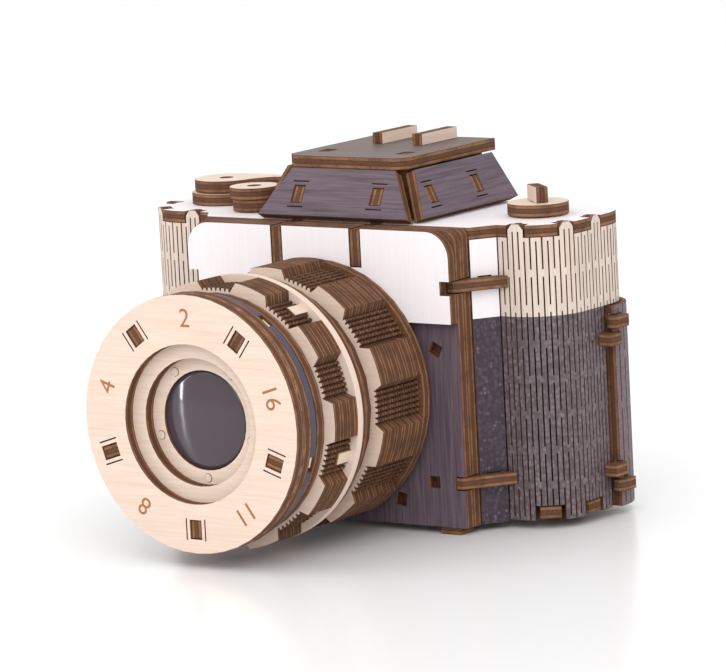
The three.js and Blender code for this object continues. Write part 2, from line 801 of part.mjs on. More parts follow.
function backPanel() {
  const half = (z) => sideInner - z * Math.tan(sideTilt) - 2 * play;
  const shape = outline([[-half(0), 0], [half(0), 0], [half(insideHeight), insideHeight],
    [-half(insideHeight), insideHeight]]);
  return upright(shape, prismBackY);
}

piece(prism, 'prism_back', backPanel(), purple);

// A lengthwise rib: tongue in the facing's slot, tenons through the front panel and the roof,
// half lapped over the cross frames.
function rib(side) {
  const up = [Math.sin(frontTilt), Math.cos(frontTilt)];
  const out = [-Math.cos(frontTilt), Math.sin(frontTilt)];
  const at = (along, outward) => [
    frontInner + up[0] * along + out[0] * outward, prismBase + up[1] * along + out[1] * outward];
  const middle = frontLength * tenonShare;
  const roofLow = roofUnder - seam;
  const atRoof = at((roofLow - prismBase) / up[1], -play);
  const points = [
    [-sheet, facingSlotLow + play], [flareStart + play, facingSlotLow + play],
    [flareStart + play, shelfHigh + sheet + seam], [ribBack, shelfHigh + sheet + seam],
    [ribBack, roofLow], [ribTenonY + tenonLength, roofLow], [ribTenonY + tenonLength, roofTop - play],
    [ribTenonY, roofTop - play], [ribTenonY, roofLow], [atRoof[0], roofLow],
    at(middle + tenonLength / 2, -play), at(middle + tenonLength / 2, sheet - play),
    at(middle - tenonLength / 2, sheet - play), at(middle - tenonLength / 2, -play),
    at(0, -play), [frontInner + play, bodyTop - play], [-sheet, bodyTop - play],
  ];
  const laps = [frameFrontY, frameRearY].map((y) => block(
    [-ribSpan, y - play, prismBase + insideHeight / 2 - play], [ribSpan, y + sheet + play, roofTop + over]));
  return cut(lengthwise(outline(points), side * ribSpan / 2), laps);
}

piece(body, 'prism_rib_left', rib(-1), burnt);
piece(body, 'prism_rib_right', rib(1), burnt);

function roof() {
  const c = roofChamfer;
  const shape = outline([
    [-roofHalf + c, roofFront], [roofHalf - c, roofFront], [roofHalf, roofFront + c], [roofHalf, roofBack],
    [-roofHalf, roofBack], [-roofHalf, roofFront + c]]);
  const slots = [-1, 1].map((side) => holeAt(
    side * ribSpan / 2, ribTenonY + tenonLength / 2, slotWide, slotTall));
  return cut(extrude(shape, sheet), slots).translate(0, 0, roofUnder);
}

piece(body, 'prism_roof', roof(), grey);
for (const [side, word] of [[-1, 'left'], [1, 'right']]) {
  const x = side * railSpan / 2;
  piece(body, `shoe_rail_${word}`, block([x - sheet / 2, railFront, roofTop + seam],
    [x + sheet / 2, railFront + railLength, roofTop + seam + railHeight]), birch);
}

// Lens: a stack of rings on five lengthwise stringers, drawn round the lens axis.
const stringerAngles = Array.from({ length: stringers }, (_, k) => stringerFirst + k * 360 / stringers);

function circle(radius, clockwise = false) {
  return new THREE.Path().absarc(0, 0, radius, 0, Math.PI * 2, clockwise);
}

// A box along a radius of the lens, for cutting slots; offset moves it sideways.
function radialBox(angle, inner, outer, width, front, back, offset = 0) {
  return block([inner, front, offset - width / 2], [outer, back, offset + width / 2]).rotateY(radians(-angle));
}

function ringShape(outer, inner) {
  const shape = new THREE.Shape().absarc(0, 0, outer, 0, Math.PI * 2);
  shape.holes.push(circle(inner, true));
  return shape;
}

function stringerSlots(front, depth = sheet, outer = stringerOuter + play) {
  return stringerAngles.map((angle) => radialBox(
    angle, stringerInner - play, outer, slotWide, front - over, front + depth + over));
}

// Fine relief slits beside each stringer slot.
function ringRelief(front) {
  return stringerAngles.flatMap((angle) => [-1, 1].map((side) => radialBox(
    angle, stringerInner - play * 2, stringerOuter + play * 2, reliefWidth, front - over,
    front + sheet + over,
    side * (slotWide / 2 + reliefGap))));
}

function ring(name, front, outer, inner, finish, cutters, segments = 20, depth = sheet) {
  piece(lens, name, cut(upright(ringShape(outer, inner), front, depth, segments), cutters), finish);
}

ring('lens_name_ring', nameFront, lensRadius, nameHole, birch,
  [...stringerSlots(nameFront), ...ringRelief(nameFront)], 24);
ring('lens_second_ring', secondFront, lensRadius, secondHole, birch, stringerSlots(secondFront));
// The third ring is open at each stringer.
ring('lens_third_ring', thirdFront, thirdRadius, thirdHole, purple,
  stringerSlots(thirdFront, sheet, lensRadius));

// Domed lens held between the third ring and the stop ring.
const glassProfile = new THREE.Path();
glassProfile.moveTo(0, -glassDome);
glassProfile.quadraticCurveTo(thirdHole * 0.6, -glassDome, thirdHole - play, 0);
const glassPoints = [
  ...glassProfile.getPoints(5), new THREE.Vector2(glassRadius, 0), new THREE.Vector2(glassRadius, glassEdge),
  new THREE.Vector2(0, glassEdge)];
piece(lens, 'lens_glass', new THREE.LatheGeometry(glassPoints, 24).translate(0, glassFront, 0), acrylic);

ring('lens_stop_ring', stopFront, stopRadius, secondHole, burnt, stringerSlots(stopFront));

// Grip outline: smooth raised arcs between recessed, finely toothed stretches.
function gripShape(radius, phase, inner) {
  const points = [];
  const at = (angle, r) => points.push([r * Math.cos(radians(angle)), r * Math.sin(radians(angle))]);
  const period = 360 / gripLobes;
  const smooth = period - gripToothedArc - 2 * gripFlank;
  for (let lobe = 0; lobe < gripLobes; lobe += 1) {
    const start = phase + lobe * period - gripToothedArc / 2;
    for (let tooth = 0; tooth < gripTeeth; tooth += 1) {
      const width = gripToothedArc / gripTeeth;
      at(start + tooth * width, radius - gripRecess - gripToothDepth);
      at(start + (tooth + 0.5) * width, radius - gripRecess);
    }
    at(start + gripToothedArc, radius - gripRecess - gripToothDepth);
    for (let k = 0; k <= 3; k += 1) {
      at(start + gripToothedArc + gripFlank + smooth * k / 3, radius);
    }
  }
  const shape = outline(points);
  shape.holes.push(circle(inner, true));
  return shape;
}

const gripBore = stringerOuter + runGap;
const focusBack = focusFront + focusPlies * sheet;
const focusNotches = stringerAngles.map((angle) => radialBox(
  angle, gripBore - over, gripRadius + over, notchWidth, focusFront + sheet, focusBack + over));
piece(lens, 'focus_ring', cut(upright(gripShape(gripRadius, stringerFirst, gripBore), focusFront,
  focusPlies * sheet), focusNotches), burnt);

ring('lens_index_ring', indexFront, indexRadius, barrelHole, birch, stringerSlots(indexFront));
ring('lens_spacer_ring', spacerFront, spacerRadius, barrelHole, burnt,
  stringerSlots(spacerFront, groove), 12, groove);
piece(lens, 'aperture_ring', upright(gripShape(gripRadius, 0, gripBore), apertureFront,
  aperturePlies * sheet), burnt);
ring('lens_rear_ring', rearFront, rearRadius, barrelHole, burnt, stringerSlots(rearFront));
ring('lens_mount_ring', mountFront, mountRadius, barrelHole, burnt, stringerSlots(mountFront), 12);

// Stringers: radial sheets from the name ring to the front plate, wider in the gap behind the second ring.
for (const [k, angle] of stringerAngles.entries()) {
  const shape = outline([
    [nameFront + play, stringerInner], [-seam, stringerInner], [-seam, stringerOuter],
    [stopFront - play, stringerOuter], [stopFront - play, spacerRadius],
    [thirdFront + play, spacerRadius], [thirdFront + play, stringerOuter],
    [nameFront + play, stringerOuter]]);
  const stringer = piece(lens, `lens_stringer_${k + 1}`, lengthwise(shape, 0), birch);
  stringer.rotation.y = radians(90 - angle);
}

// Dials: discs on axles that turn in the top plate.
function axle(parent, name, top) {
  const profile = [
    [0, topUnder - runGap - sheet], [axleFlange, topUnder - runGap - sheet], [axleFlange, topUnder - runGap],
    [axleRadius, topUnder - runGap], [axleRadius, top], [0, top]];
  const lathe = new THREE.LatheGeometry(profile.map(([x, y]) => new THREE.Vector2(x, y)), 20);
  return piece(parent, name, lathe.rotateX(Math.PI / 2), burnt);
}

function holedDisc(radius, z, hole, segments = 14) {
  return level(ringShape(radius, hole), z, sheet, segments);
}

const dialLow = bodyTop + seam;
const dialMid = dialLow + sheet + seam;
const axleHole = axleRadius + seam;

const lever = new THREE.Group();
lever.position.set(leverX, leverY, 0);
camera.add(lever);
piece(lever, 'lever_base', holedDisc(leverBase, dialLow, axleRadius + runGap), burnt);
const leverLow = dialLow + sheet + runGap;
axle(lever, 'lever_axle', leverLow + sheet - axleShort);

// Lever outline: round hub with an arm leaving its back side along a tangent.
function leverShape() {
  const shape = new THREE.Shape();
  shape.absarc(0, 0, leverHub, Math.PI / 2, Math.PI * 1.9);
  shape.quadraticCurveTo(leverHub * 1.05, leverHub * 0.15, leverArm, leverHub - 2 * leverTip);
  shape.absarc(leverArm, leverHub - leverTip, leverTip, -Math.PI / 2, Math.PI / 2);
  shape.holes.push(circle(axleHole, true));
  return shape;
}

piece(lever, 'advance_lever', level(leverShape(), leverLow, sheet, 10), birch);

const speed = new THREE.Group();
speed.position.set(speedX, speedY, 0);
camera.add(speed);
piece(speed, 'speed_dial_base', holedDisc(speedBase, dialLow + runGap, axleHole), burnt);
piece(speed, 'speed_dial_top', holedDisc(speedRadius, dialMid + runGap, axleHole), birch);
axle(speed, 'speed_axle', dialMid + runGap + sheet - axleShort);

const rewind = new THREE.Group();
rewind.position.set(rewindX, rewindY, 0);
camera.add(rewind);
piece(rewind, 'rewind_disc', holedDisc(rewindRadius, dialLow + runGap, axleHole), birch);
axle(rewind, 'rewind_axle', dialLow + runGap + sheet - seam);
const keyLow = dialLow + runGap + sheet + seam;
const key = piece(rewind, 'rewind_key', block([-keyLength / 2, -sheet / 2, keyLow],
  [keyLength / 2, sheet / 2, keyLow + keyHeight]), birch);
key.rotation.z = radians(keyTurn - 90);

// Back door: one bent sheet round both rear corners, hinged on two short pins at the right end.
const doorLow = footHeight + doorHem;
const doorHigh = splitHeight - doorHead;
const doorEdge = lowerEnd + doorGap;

function doorPanel() {
  const rr = cornerRear + doorProud;
  const arc = rr * Math.PI / 2;
  const straight = bodyBack + doorProud - rr - doorEdge;
  const across = endRight + endLeft + 2 * doorProud - 2 * rr;
  const path = (s) => {
    const turnOne = s - straight;
    const turnTwo = s - straight - arc - across;
    if (turnOne < 0) return { x: endRight + doorProud, y: doorEdge + s, inX: -1, inY: 0 };
    if (turnOne <= arc) {
      const a = turnOne / rr;
      return { x: endRight + doorProud - rr + rr * Math.cos(a), y: doorFace - rr + rr * Math.sin(a),
        inX: -Math.cos(a), inY: -Math.sin(a) };
    }
    if (turnTwo < 0) {
      return { x: endRight + doorProud - rr - (turnOne - arc), y: doorFace, inX: 0, inY: -1 };
    }
    if (turnTwo <= arc) {
      const a = Math.PI / 2 + turnTwo / rr;
      return { x: -endLeft - doorProud + rr + rr * Math.cos(a), y: doorFace - rr + rr * Math.sin(a),
        inX: -Math.cos(a), inY: -Math.sin(a) };
    }
    return { x: -endLeft - doorProud, y: doorFace - rr - (turnTwo - arc), inX: 1, inY: 0 };
  };
  const marks = [0];
  for (let k = 0; k <= doorSlits; k += 1) marks.push(straight + arc * k / doorSlits);
  for (let k = 0; k <= doorSlits; k += 1) marks.push(straight + arc + across + arc * k / doorSlits);
  marks.push(2 * straight + 2 * arc + across);
  const strips = marks.slice(0, -1).map((mark, i) => ({
    from: mark + (i > 0 ? slitWidth / 2 : 0),
    to: marks[i + 1] - (i < marks.length - 2 ? slitWidth / 2 : 0),
    bottom: doorLow,
    topFrom: doorHigh,
    topTo: doorHigh,
  }));
  return slitPanel(path, strips, (i) => latticeRows(i, doorLow, doorHigh, doorLow, doorHigh, doorRows));
}

// A lug is a sheet round the pin with a tongue back to the panel that carries it.
function lugShape(forward, hole) {
  const reach = forward ? lugLength : -lugLength;
  const shape = new THREE.Shape();
  if (forward) {
    shape.moveTo(lugRadius, 0);
    shape.lineTo(lugRadius, reach);
    shape.lineTo(-lugRadius, reach);
    shape.lineTo(-lugRadius, 0);
    shape.absarc(0, 0, lugRadius, Math.PI, Math.PI * 2);
  } else {
    shape.moveTo(-lugRadius, 0);
    shape.lineTo(-lugRadius, reach);
    shape.lineTo(lugRadius, reach);
    shape.lineTo(lugRadius, 0);
    shape.absarc(0, 0, lugRadius, 0, Math.PI);
  }
  shape.holes.push(circle(hole, true));
  return shape;
}

const door = new THREE.Group();
camera.add(door);
const doorLugs = [lugTop, lugBottom];
const bodyLugs = [lugTop - lugStep, lugBottom + lugStep];
const lugRoom = [...doorLugs, ...bodyLugs].map((z) => disc(
  lugRadius + runGap, z - runGap, sheet + 2 * runGap, 20).translate(pinX, pinY, 0));
const tongueRoom = doorLugs.map((z) => block([pinX - lugRadius - play, pinY, z - play],
  [pinX + lugRadius + over, pinY + lugLength + play, z + sheet + play]));
piece(door, 'door_panel', cut(doorPanel(), [...lugRoom, ...tongueRoom]), purple);

for (const [k, word] of ['top', 'bottom'].entries()) {
  piece(door, `door_lug_${word}`, level(lugShape(true, pinRadius + runGap / 2), doorLugs[k], sheet, 6)
    .translate(pinX, pinY, 0), burnt);
  piece(body, `body_lug_${word}`, level(lugShape(false, pinRadius + seam), bodyLugs[k], sheet, 6)
    .translate(pinX, pinY, 0), burnt);
  const low = Math.min(doorLugs[k], bodyLugs[k]);
  piece(body, `hinge_pin_${word}`, disc(pinRadius, low, lugStep + sheet, 12).translate(pinX, pinY, 0), birch);
}

// Centre the bounding box over the origin, with the feet on the floor.
const mostRight = pinX + lugRadius;
const mostLeft = -endLeft - doorProud;
camera.position.set(-(mostRight + mostLeft) / 2, (lensReach - roofBack) / 2, 0);

export default camera;
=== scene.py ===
import math

import bmesh
import bpy
from mathutils import Matrix, Vector


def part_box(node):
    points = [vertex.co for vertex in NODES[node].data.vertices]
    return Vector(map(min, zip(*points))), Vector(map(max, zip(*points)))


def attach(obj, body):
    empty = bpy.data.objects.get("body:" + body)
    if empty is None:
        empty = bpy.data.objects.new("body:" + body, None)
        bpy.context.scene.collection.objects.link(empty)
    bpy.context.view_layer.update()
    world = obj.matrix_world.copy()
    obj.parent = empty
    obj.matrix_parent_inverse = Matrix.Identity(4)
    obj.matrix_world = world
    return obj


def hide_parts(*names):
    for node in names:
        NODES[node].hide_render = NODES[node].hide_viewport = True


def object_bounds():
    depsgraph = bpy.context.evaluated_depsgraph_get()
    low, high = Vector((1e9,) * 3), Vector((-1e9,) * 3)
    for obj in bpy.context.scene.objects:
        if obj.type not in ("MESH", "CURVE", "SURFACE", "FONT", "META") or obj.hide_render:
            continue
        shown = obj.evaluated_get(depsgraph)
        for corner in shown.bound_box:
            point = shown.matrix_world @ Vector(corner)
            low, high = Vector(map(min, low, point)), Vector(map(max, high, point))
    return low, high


bl_info = {
    "name": "Plywood Toy Camera",
    "version": (1, 0, 0),
    "blender": (4, 5, 0),
    "location": "3D View > Sidebar > Toy Camera",
    "description": "Finishes and stage for a toy camera slotted together from laser-cut birch plywood",
    "category": "Object",
}

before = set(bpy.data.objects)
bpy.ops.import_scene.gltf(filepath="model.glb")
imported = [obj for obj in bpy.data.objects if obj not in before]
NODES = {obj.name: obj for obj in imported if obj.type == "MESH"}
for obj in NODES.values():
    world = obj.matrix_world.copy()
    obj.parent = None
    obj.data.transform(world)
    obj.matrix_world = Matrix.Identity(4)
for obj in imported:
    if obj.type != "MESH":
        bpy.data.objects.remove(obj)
LOADED_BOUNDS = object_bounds()
MM = 0.001
# Points closer than this are one point, in metres.
MERGE = 1e-6
# Further out than any piece, in metres.
FAR = 1.0

ROOT_BODY = "body"
FACING_LOW, FACING_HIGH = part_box("front_facing")
LENS_LOW, LENS_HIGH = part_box("lens_name_ring")
LENS_CENTRE = (LENS_LOW + LENS_HIGH) / 2
# Stringers round the lens axis, and the angle of the first.
LENS_PLACES = 5
LENS_FIRST = math.radians(54)
ALONG_X = Vector((1, 0, 0))
ALONG_Y = Vector((0, 1, 0))
ALONG_Z = Vector((0, 0, 1))


class CameraFinishes(bpy.types.PropertyGroup):
    """Colours and sizes of the plywood, its stains and its cut edges."""

    birch: bpy.props.StringProperty(
        name="Birch", description="Sanded face veneer, sRGB hex", default="#E2CDBE")
    birch_grain: bpy.props.StringProperty(
        name="Birch grain", description="Darker streaks in the bare veneer", default="#D9C1AE")
    white: bpy.props.StringProperty(
        name="White print", description="Thin white print on the upper band", default="#F1ECEE")
    white_grain: bpy.props.StringProperty(
        name="White grain", description="Grain that shows through the white print", default="#EDE7EA")
    # The slit ends' print is warmer than the white print, and darker as painted shade of their slits.
    pale: bpy.props.StringProperty(
        name="Pale print", description="Warmer print on the slit ends", default="#DCCDC1")
    pale_grain: bpy.props.StringProperty(
        name="Pale grain", description="Grain that shows through the pale print", default="#C8B6A8")
    panel: bpy.props.StringProperty(
        name="Panel stain", description="Deep stain of the side panels", default="#564854")
    panel_grain: bpy.props.StringProperty(
        name="Panel grain", description="Hollows of the panels' relief", default="#3D333D")
    strip: bpy.props.StringProperty(
        name="Strip stain", description="Greyer stain of the slit ends and the door", default="#7D6E74")
    strip_grain: bpy.props.StringProperty(
        name="Strip grain", description="Hollows of the strips' relief", default="#5A4F53")
    stain: bpy.props.StringProperty(
        name="Stain", description="Dark purple-grey stain", default="#6C5C66")
    stain_grain: bpy.props.StringProperty(
        name="Stain grain", description="Deeper colour in the open grain", default="#4E414A")
    # Also the colour of the painted glints on the pebble tops of the relief.
    fleck_and_glint: bpy.props.StringProperty(
        name="Stain fleck", description="Pale flecks where the stain missed", default="#857A83")
    hoop: bpy.props.StringProperty(
        name="Hoop stain", description="Bluer stain of the hoop round the third ring", default="#45445A")
    roof: bpy.props.StringProperty(
        name="Roof", description="Paler grey stain of the roof", default="#74655F")
    roof_grain: bpy.props.StringProperty(
        name="Roof grain", description="Grain of the roof", default="#5C4F4B")
    bar: bpy.props.StringProperty(
        name="Bar", description="Browned faces of small inner pieces", default="#745239")
    bar_grain: bpy.props.StringProperty(
        name="Bar grain", description="Grain of browned pieces", default="#593D2A")
    cut: bpy.props.StringProperty(
        name="Cut edge", description="Laser-browned edge of the sheet", default="#5F3F2E")
    cut_light: bpy.props.StringProperty(
        name="Cut edge, light", description="Where the beam passed quickly", default="#9A6D4D")
    # Also the colour of the painted shade in the slits below the split and at the roots of the grips'
    # teeth.
    char_and_shade: bpy.props.StringProperty(
        name="Char", description="Glue lines and scorched streaks", default="#382419")
    engraving: bpy.props.StringProperty(
        name="Engraving", description="Browned line of the numerals", default="#A9713F")
    acrylic: bpy.props.StringProperty(
        name="Acrylic", description="Dark smoked lens disc", default="#463C43")
    sheet: bpy.props.FloatProperty(
        name="Sheet", description="Plywood thickness", default=3.2 * MM, unit="LENGTH")
    split_height: bpy.props.FloatProperty(
        name="Split height", description="Lower edge of the white band",
        default=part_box("rear_panel")[0].z, unit="LENGTH")
    plate_split: bpy.props.FloatProperty(
        name="Plate split", description="Front plate is browned above this, behind the facing",
        default=(FACING_LOW.z + FACING_HIGH.z) / 2, unit="LENGTH")
    # Birch grain is finer than this: it is drawn as coarse as it needs to show.
    grain_width: bpy.props.FloatProperty(
        name="Grain width", description="Across one streak of grain", default=0.7 * MM, unit="LENGTH")
    grain_length: bpy.props.FloatProperty(
        name="Grain length", description="Along one streak of grain", default=18 * MM, unit="LENGTH")


class CameraStage(bpy.types.PropertyGroup):
    """Where the picture is taken from, and the studio."""

    azimuth: bpy.props.FloatProperty(
        name="Azimuth", description="Camera to the viewer's right of the lens axis",
        default=math.radians(35.40), subtype="ANGLE")
    elevation: bpy.props.FloatProperty(
        name="Elevation", description="Camera above the level",
        default=math.radians(8.92), subtype="ANGLE")
    roll: bpy.props.FloatProperty(
        name="Roll", description="Turn about the line of sight",
        default=math.radians(-2.93), subtype="ANGLE")
    distance: bpy.props.FloatProperty(
        name="Distance", description="Camera to the front plate", default=1463.2 * MM, unit="LENGTH")
    aside: bpy.props.FloatProperty(
        name="Aside", description="Camera moved to its right", default=7.09 * MM, unit="LENGTH")
    upward: bpy.props.FloatProperty(
        name="Upward", description="Camera moved up", default=49.25 * MM, unit="LENGTH")
    focal: bpy.props.FloatProperty(
        name="Focal length", description="On a 36 mm wide sensor", default=268.2, unit="CAMERA")
    floor: bpy.props.StringProperty(
        name="Floor", description="Pale studio floor, sRGB hex", default="#FAFAFA")


CLASSES = [CameraFinishes, CameraStage]


def linear(hex_colour):
    """An sRGB hex colour as linear RGBA, opaque."""
    channels = [int(hex_colour[i:i + 2], 16) / 255 for i in (1, 3, 5)]
    return [c / 12.92 if c <= 0.04045 else ((c + 0.055) / 1.055) ** 2.4 for c in channels] + [1.0]


def feed(tree, node, inputs):
    """Gives a node its inputs, by name or number: a constant is set, and a socket is linked."""
    for name, value in inputs.items():
        if isinstance(value, bpy.types.NodeSocket):
            tree.links.new(value, node.inputs[name])
        else:
            node.inputs[name].default_value = value


def add(tree, kind, settings, inputs, output=0):
    """Adds a node with its settings and inputs. Gives one of its outputs, by name or number."""
    node = tree.nodes.new("ShaderNode" + kind)
    for name, value in settings.items():
        setattr(node, name, value)
    feed(tree, node, inputs)
    return node.outputs[output]


COLOURS = {"data_type": "RGBA"}
NUMBERS = {"data_type": "FLOAT"}
FACE_ROUGHNESS = 0.52
PEBBLE_ROUGHNESS = 0.36
EDGE_ROUGHNESS = 0.8
WOOD_SPECULAR = 0.24
# Sets the grain of one material apart from the next.
SEED_STEP = 0.37
# How nearly a normal lies along a sheet's own direction where it is on a face.
FLAT_FACE = 0.85
BENT_FACE = 0.8
# Depth that still counts as the outermost face of glued sheets.
SKIN = 0.05 * MM
# Sizes of the marks on faces and edges.
FLECK = 0.9 * MM
PEBBLE = 1.2 * MM
# Patches where the painted glints show on the pebble tops.
GLINT_PATCH = 3 * MM
QUICK_PATCH = 5 * MM
SCORCH = 1.1 * MM
# Parts of a cut edge, as shares of the sheet's thickness from its middle.
MIDDLE_PLY = 0.15
GLUE_LINE = 0.19
GLUE_CORE = 0.02
GLUE_FADE = 0.06
OUTER_START = 0.18
OUTER_FULL = 0.24
RIM_START = 0.41
RIM_FULL = 0.48
# Shares of char colour: painted shade in the slits below the split, real char all over a grip's edge,
# and painted shade at the roots of its teeth.
SLIT_SHADE = 0.6
GRIP_CHAR = 0.15
ROOT_SHADE = 0.4


def new_material(name):
    """A material with nodes, its tree and its shader."""
    material = bpy.data.materials.new(name)
    material.use_nodes = True
    tree = material.node_tree
    return material, tree, tree.nodes["Principled BSDF"]


# Light and dark colour of each kind of face.
FACES = {
    "bare": ("birch", "birch_grain"),
    "white": ("white", "white_grain"),
    "roof": ("roof", "roof_grain"),
    "bar": ("bar", "bar_grain"),
    "stain": ("stain", "stain_grain"),
    "pale": ("pale", "pale_grain"),
    "panel": ("panel", "panel_grain"),
    "strip": ("strip", "strip_grain"),
}
# Face above and below the split of each two-tone kind, and the name of the split's height.
TWO_TONES = {
    "front_plate": ("bar", "stain", "plate_split"),
    "side_panel": ("white", "panel", "split_height"),
    "slit_end": ("pale", "strip", "split_height"),
}
FLECKED = ("stain", "panel", "strip")
PEBBLED = ("panel", "strip")
# Print and stain that are on the outer face alone.
ONE_SIDED = ("white", "roof", "stain", "strip", *TWO_TONES)


def face_colour(tree, place, kind, grain, finishes, seed):
    """The colour of a sheet's face, and the height of its grain: streaks that run along the grain."""
    scales = [1 / (finishes.grain_length if abs(g) > 0.5 else finishes.grain_width) for g in grain]
    stretched = add(tree, "Mapping", {}, {
        "Vector": place, "Scale": scales, "Location": (seed, seed * 2, seed * 3)})
    streaks = add(tree, "TexNoise", {}, {
        "Vector": stretched, "Scale": 1.0, "Detail": 4.0, "Roughness": 0.6})
    light, dark = (linear(getattr(finishes, name)) for name in FACES[kind])
    share = add(tree, "MapRange", {}, {"Value": streaks, "From Min": 0.38, "From Max": 0.72})
    colour = add(tree, "Mix", COLOURS, {0: share, 6: light, 7: dark}, 2)
    if kind in FLECKED:
        flecks = add(tree, "TexNoise", {}, {
            "Vector": place, "Scale": 1 / FLECK, "Detail": 3.0, "Roughness": 0.7})
        missed = add(tree, "MapRange", {}, {"Value": flecks, "From Min": 0.66, "From Max": 0.84})
        colour = add(tree, "Mix", COLOURS, {0: missed, 6: colour, 7: linear(finishes.fleck_and_glint)}, 2)
    return colour, streaks


def pebbled_colour(tree, place, colour, kind, finishes):
    """A stain over a relief like leather, with painted glints on the pebble tops. Gives the colour and
    the height.
    """
    pebbles = add(tree, "TexVoronoi", {}, {"Vector": place, "Scale": 1 / PEBBLE})
    hollow = add(tree, "MapRange", {}, {"Value": pebbles, "From Min": 0.3, "From Max": 0.7})
    deep = linear(getattr(finishes, FACES[kind][1]))
    colour = add(tree, "Mix", COLOURS, {0: hollow, 6: colour, 7: deep}, 2)
    glint_patches = add(tree, "TexNoise", {}, {"Vector": place, "Scale": 1 / GLINT_PATCH, "Detail": 4.0})
    glint_patches = add(tree, "MapRange", {}, {"Value": glint_patches, "From Min": 0.5, "From Max": 0.65, "To Max": 0.7})
    # Painted glints: the pale fleck colour laid on the pebble tops, in patches, stands in for
    # highlights.
    top = add(tree, "MapRange", {}, {"Value": pebbles, "From Min": 0.35, "From Max": 0.15})
    painted_glint = add(tree, "Math", {"operation": "MULTIPLY"}, {0: glint_patches, 1: top})
    colour = add(tree, "Mix", COLOURS, {0: painted_glint, 6: colour, 7: linear(finishes.fleck_and_glint)}, 2)
    return colour, add(tree, "Math", {"operation": "MULTIPLY"}, {0: pebbles, 1: -3.0})


def two_tone_colour(tree, place, kind, grain, finishes, seed):
    """One finish above the split and another below. Gives the colour, the height and the roughness."""
    upper, lower, split = TWO_TONES[kind]
    upper_colour, upper_height = face_colour(tree, place, upper, grain, finishes, seed)
    lower_colour, lower_height = face_colour(tree, place, lower, grain, finishes, seed)
    if lower in PEBBLED:
        lower_colour, lower_height = pebbled_colour(tree, place, lower_colour, lower, finishes)
    up = add(tree, "SeparateXYZ", {}, {"Vector": place}, 2)
    above = add(tree, "Math", {"operation": "GREATER_THAN"}, {0: up, 1: getattr(finishes, split)})
    lower_roughness = PEBBLE_ROUGHNESS if lower in PEBBLED else FACE_ROUGHNESS
    return (add(tree, "Mix", COLOURS, {0: above, 6: lower_colour, 7: upper_colour}, 2),
            add(tree, "Mix", NUMBERS, {0: above, 2: lower_height, 3: upper_height}),
            add(tree, "Mix", NUMBERS, {0: above, 2: lower_roughness, 3: FACE_ROUGHNESS}))


def edge_colour(tree, place, depth, finishes):
    """Laser-browned edge: tan outer plies, a darker middle, glue lines, charred rims, scorch marks."""
    share = add(tree, "Math", {"operation": "DIVIDE"}, {0: depth, 1: finishes.sheet})
    share = add(tree, "Math", {"operation": "FRACT"}, {0: share})
    off_middle = add(tree, "Math", {"operation": "SUBTRACT"}, {0: share, 1: 0.5})
    off_middle = add(tree, "Math", {"operation": "ABSOLUTE"}, {0: off_middle})
    from_glue = add(tree, "Math", {"operation": "SUBTRACT"}, {0: off_middle, 1: GLUE_LINE})
    from_glue = add(tree, "Math", {"operation": "ABSOLUTE"}, {0: from_glue})
    glue = add(tree, "MapRange", {}, {
        "Value": from_glue, "From Min": GLUE_FADE, "From Max": GLUE_CORE, "To Max": 0.5})
    rim = add(tree, "MapRange", {}, {
        "Value": off_middle, "From Min": RIM_START, "From Max": RIM_FULL, "To Max": 0.75})
    middle = add(tree, "MapRange", {}, {
        "Value": off_middle, "From Min": GLUE_LINE, "From Max": MIDDLE_PLY, "To Max": 0.2})
    outer = add(tree, "MapRange", {}, {
        "Value": off_middle, "From Min": OUTER_START, "From Max": OUTER_FULL,
        "To Min": 0.15, "To Max": 0.8})
    patches = add(tree, "TexNoise", {}, {"Vector": place, "Scale": 1 / QUICK_PATCH, "Detail": 3.0})
    scorch = add(tree, "TexNoise", {}, {"Vector": place, "Scale": 1 / SCORCH, "Detail": 2.0})
    quick = add(tree, "MapRange", {}, {
        "Value": patches, "From Min": 0.35, "From Max": 0.62, "To Min": 0.3})
    burnt = add(tree, "MapRange", {}, {
        "Value": scorch, "From Min": 0.56, "From Max": 0.8, "To Max": 0.6})
    light = add(tree, "Math", {"operation": "MULTIPLY"}, {0: outer, 1: quick})
    darkest = linear(finishes.char_and_shade)
    colour = add(tree, "Mix", COLOURS, {
        0: light, 6: linear(finishes.cut), 7: linear(finishes.cut_light)}, 2)
    for factor in (burnt, middle, glue, rim):
        colour = add(tree, "Mix", COLOURS, {0: factor, 6: colour, 7: darkest}, 2)
    hollow = add(tree, "Math", {"operation": "MAXIMUM"}, {0: glue, 1: rim})
    return colour, add(tree, "Math", {"operation": "SUBTRACT"}, {0: 1.0, 1: hollow})


